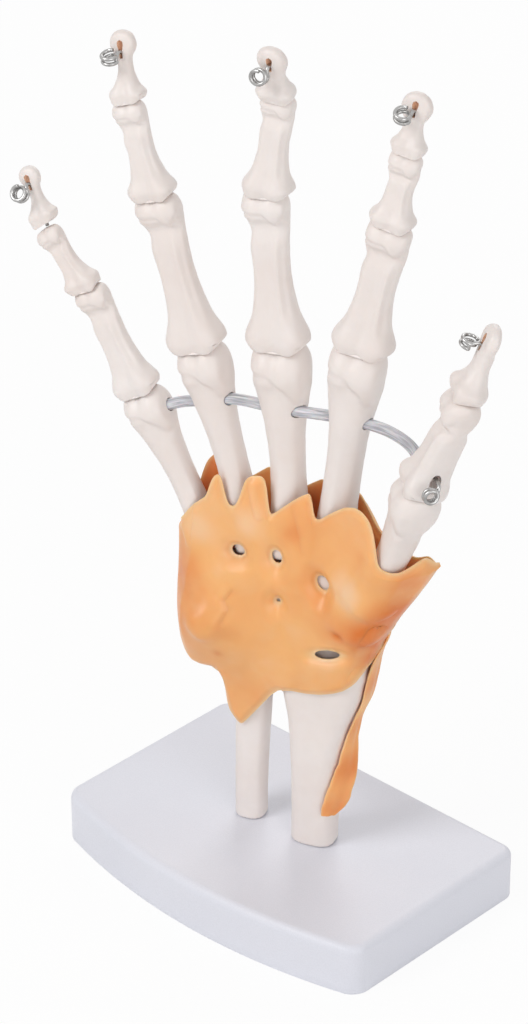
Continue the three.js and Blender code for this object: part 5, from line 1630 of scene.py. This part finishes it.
def sheet(side, top, bottom, bulge, folds, tones, openings, seed):
    """One sheet: its points and faces, and the tone and rim of each point."""
    across, up, inside, hole_edge, dip_edge = opened(*flat_grid(top, bottom), openings)
    fine = np.linspace(LEFT, RIGHT, EDGE_POINTS)
    top_edge, low_edge = (line_distance(list(zip(fine, edge_curve(pairs, fine))), across, up)
                          for pairs in (top, bottom))
    rim = np.minimum(np.minimum(top_edge, low_edge), hole_edge)
    fold = sum(height * hump(line_distance(line, across, up), 0, width)
               for line, width, height in folds)

    out, bones = draped(side, top, bulge, across, up, low_edge, dip_edge)
    place = xyz(across, up, out)
    wave = 0.4 * uneven(place, 11, seed) + 0.12 * uneven(place, 4.5, seed + 2) + 0.45 * fold
    wave = wave * step_up(rim, 0, 2.5) * np.minimum(1, dome_at(across, up) * 1.4)
    base = spot(across, side * np.maximum(out + wave, bones), up)
    normal = np.cross(np.gradient(base, axis=0), np.gradient(base, axis=1))
    normal /= np.maximum(np.linalg.norm(normal, axis=2, keepdims=True), 1e-9)
    normal *= -side * np.sign(normal[..., 1].sum())
    thick = (SHEET_THICK * (0.3 + 0.7 * step_up(rim, 0, 2.2))
             + 0.4 * fold * step_up(rim, 0, 1.5))
    outer = base + normal * np.maximum(thick, 0.3)[..., None]

    faces = grid_faces(inside)
    used, numbers = np.unique(faces, return_inverse=True)
    faces = [tuple(face) for face in numbers.reshape(faces.shape).tolist()]
    points = np.vstack([base.reshape(-1, 3), outer.reshape(-1, 3)])[used]
    # Paler on the ridges of the folds and deeper in their creases: painted light and shade
    tone = 0.42 + 0.1 * np.clip(fold, -1, 1)
    for x, y, radius, much in tones:
        tone = tone + 0.6 * much * np.exp(-(((across - x) ** 2 + (up - y) ** 2) / radius**2))
    tone, rim = (np.tile(values.ravel(), 2)[used] for values in (tone, 0.4 * hump(rim, 0, 0.7)))
    return points, outward(points, faces), tone, rim


def new_sheet(name, points, faces, tone, rim, node):
    """A sheet's object, with its tone and rim stored for each point, in place of the solid it
    stands in for.
    """
    piece = new_object(name, points, faces, rubber_finish)
    for label, values in (("tone", tone), ("rim", rim)):
        store = piece.data.attributes.new(label, "FLOAT", "POINT")
        store.data.foreach_set("value", np.asarray(values, np.float32))
    piece.data.set_sharp_from_angle(angle=math.radians(SHEET_CREASE))
    to_frame(spot(0, 0, -14)).tolist()
    to_frame(spot(0, 0, 10)).tolist()
    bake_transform(piece)
    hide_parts(node)


palm_sheet = sheet(1, PALM_TOP, PALM_BOTTOM, PALM_BULGE, PALM_FOLDS, PALM_TONES_AND_SHADE, OPENINGS, 91)
new_sheet("ligament_palm", *palm_sheet, "palmar_ligament")
print("palm sheet:", len(palm_sheet[1]), "faces")

# %% [markdown]
# ## The strap
# A long strap of the back sheet follows the thumb side of the radius down and comes round to
# its front. It is a flat band whose edges wave, drawn section by section along its path, and
# it becomes one piece with the back sheet.

# %% The strap
# Sections: up, across, to the palm, half width and the way its flat side faces, in degrees
STRAP = [
    (7, 26.6, -1, 2, -30), (-1, 26.4, -1.2, 3, -24), (-5, 25.2, -0.8, 3.8, -10),
    (-11.3, 23.4, 0, 4.2, 0), (-19.1, 22.2, 1, 4, 4), (-24.2, 21, 1, 3.7, 4),
    (-28.6, 19.4, 2.3, 2.8, 6), (-36.5, 17.4, 3, 3.2, 17), (-46.6, 16.3, 4.2, 3.6, 38),
    (-53.5, 15.1, 6.1, 4, 52), (-59.6, 13.5, 7.3, 3.6, 58), (-62.6, 12.1, 8, 2.2, 60)]


def wavy(up, much, coarse, wave, fine):
    """How wide one side of the strap is at a height, about 1."""
    return (1 + much * noise.noise(Vector((up / 5, coarse, 0)))
            + 0.05 * noise.noise(Vector((up / wave, fine, 0))))


def strap():
    """The strap's points and faces, and the tone and rim of each point."""
    rings, tones, rims = [], [], []
    turn = full_turn(40)
    w, h = np.cos(turn), np.sin(turn)
    for k, (up, across, palm, half, facing) in enumerate(smooth_rows(STRAP, 90)):
        facing = math.radians(facing)
        out = np.array([math.cos(facing), -math.sin(facing), 0])
        wide = np.array([-out[1], out[0], 0])
        left, right = half * wavy(up, 0.1, 3.1, 1.9, 9.1), half * wavy(up, 0.12, 7.7, 1.7, 5.5)
        spread = np.sign(w) * np.abs(w) ** 0.6 * np.where(w > 0, right, left)
        thick = SHEET_THICK * 0.5 * np.sign(h) * np.abs(h) ** 0.7 * (1 - 0.4 * np.abs(w) ** 6)
        ridge = 0.28 * hump(spread / half, -0.15, 0.22) - 0.2 * hump(spread / half, 0.4, 0.2)
        thick = thick + np.where(h > 0, ridge, 0)
        rings.append(spot(across, palm, up) + np.outer(spread, wide) + np.outer(thick, out))
        tones += (0.3 + 0.16 * np.abs(w) ** 4 + 0.1 * np.sin(k * 0.35)).tolist()
        rims += (0.3 * np.abs(w) ** 10).tolist()
    return *skin(rings), tones + [0.2, 0.2], rims + [0, 0]


back_sheet = sheet(-1, BACK_TOP, BACK_BOTTOM, BACK_BULGE, BACK_FOLDS, BACK_TONES_AND_SHADE, [], 97)
band = strap()
points, faces = joined([back_sheet[:2], band[:2]])
tone, rim = (np.append(back_sheet[k], band[k]) for k in (2, 3))
new_sheet("ligament_back", points, faces, tone, rim, "dorsal_ligament")
print("back sheet with its strap:", len(faces), "faces")
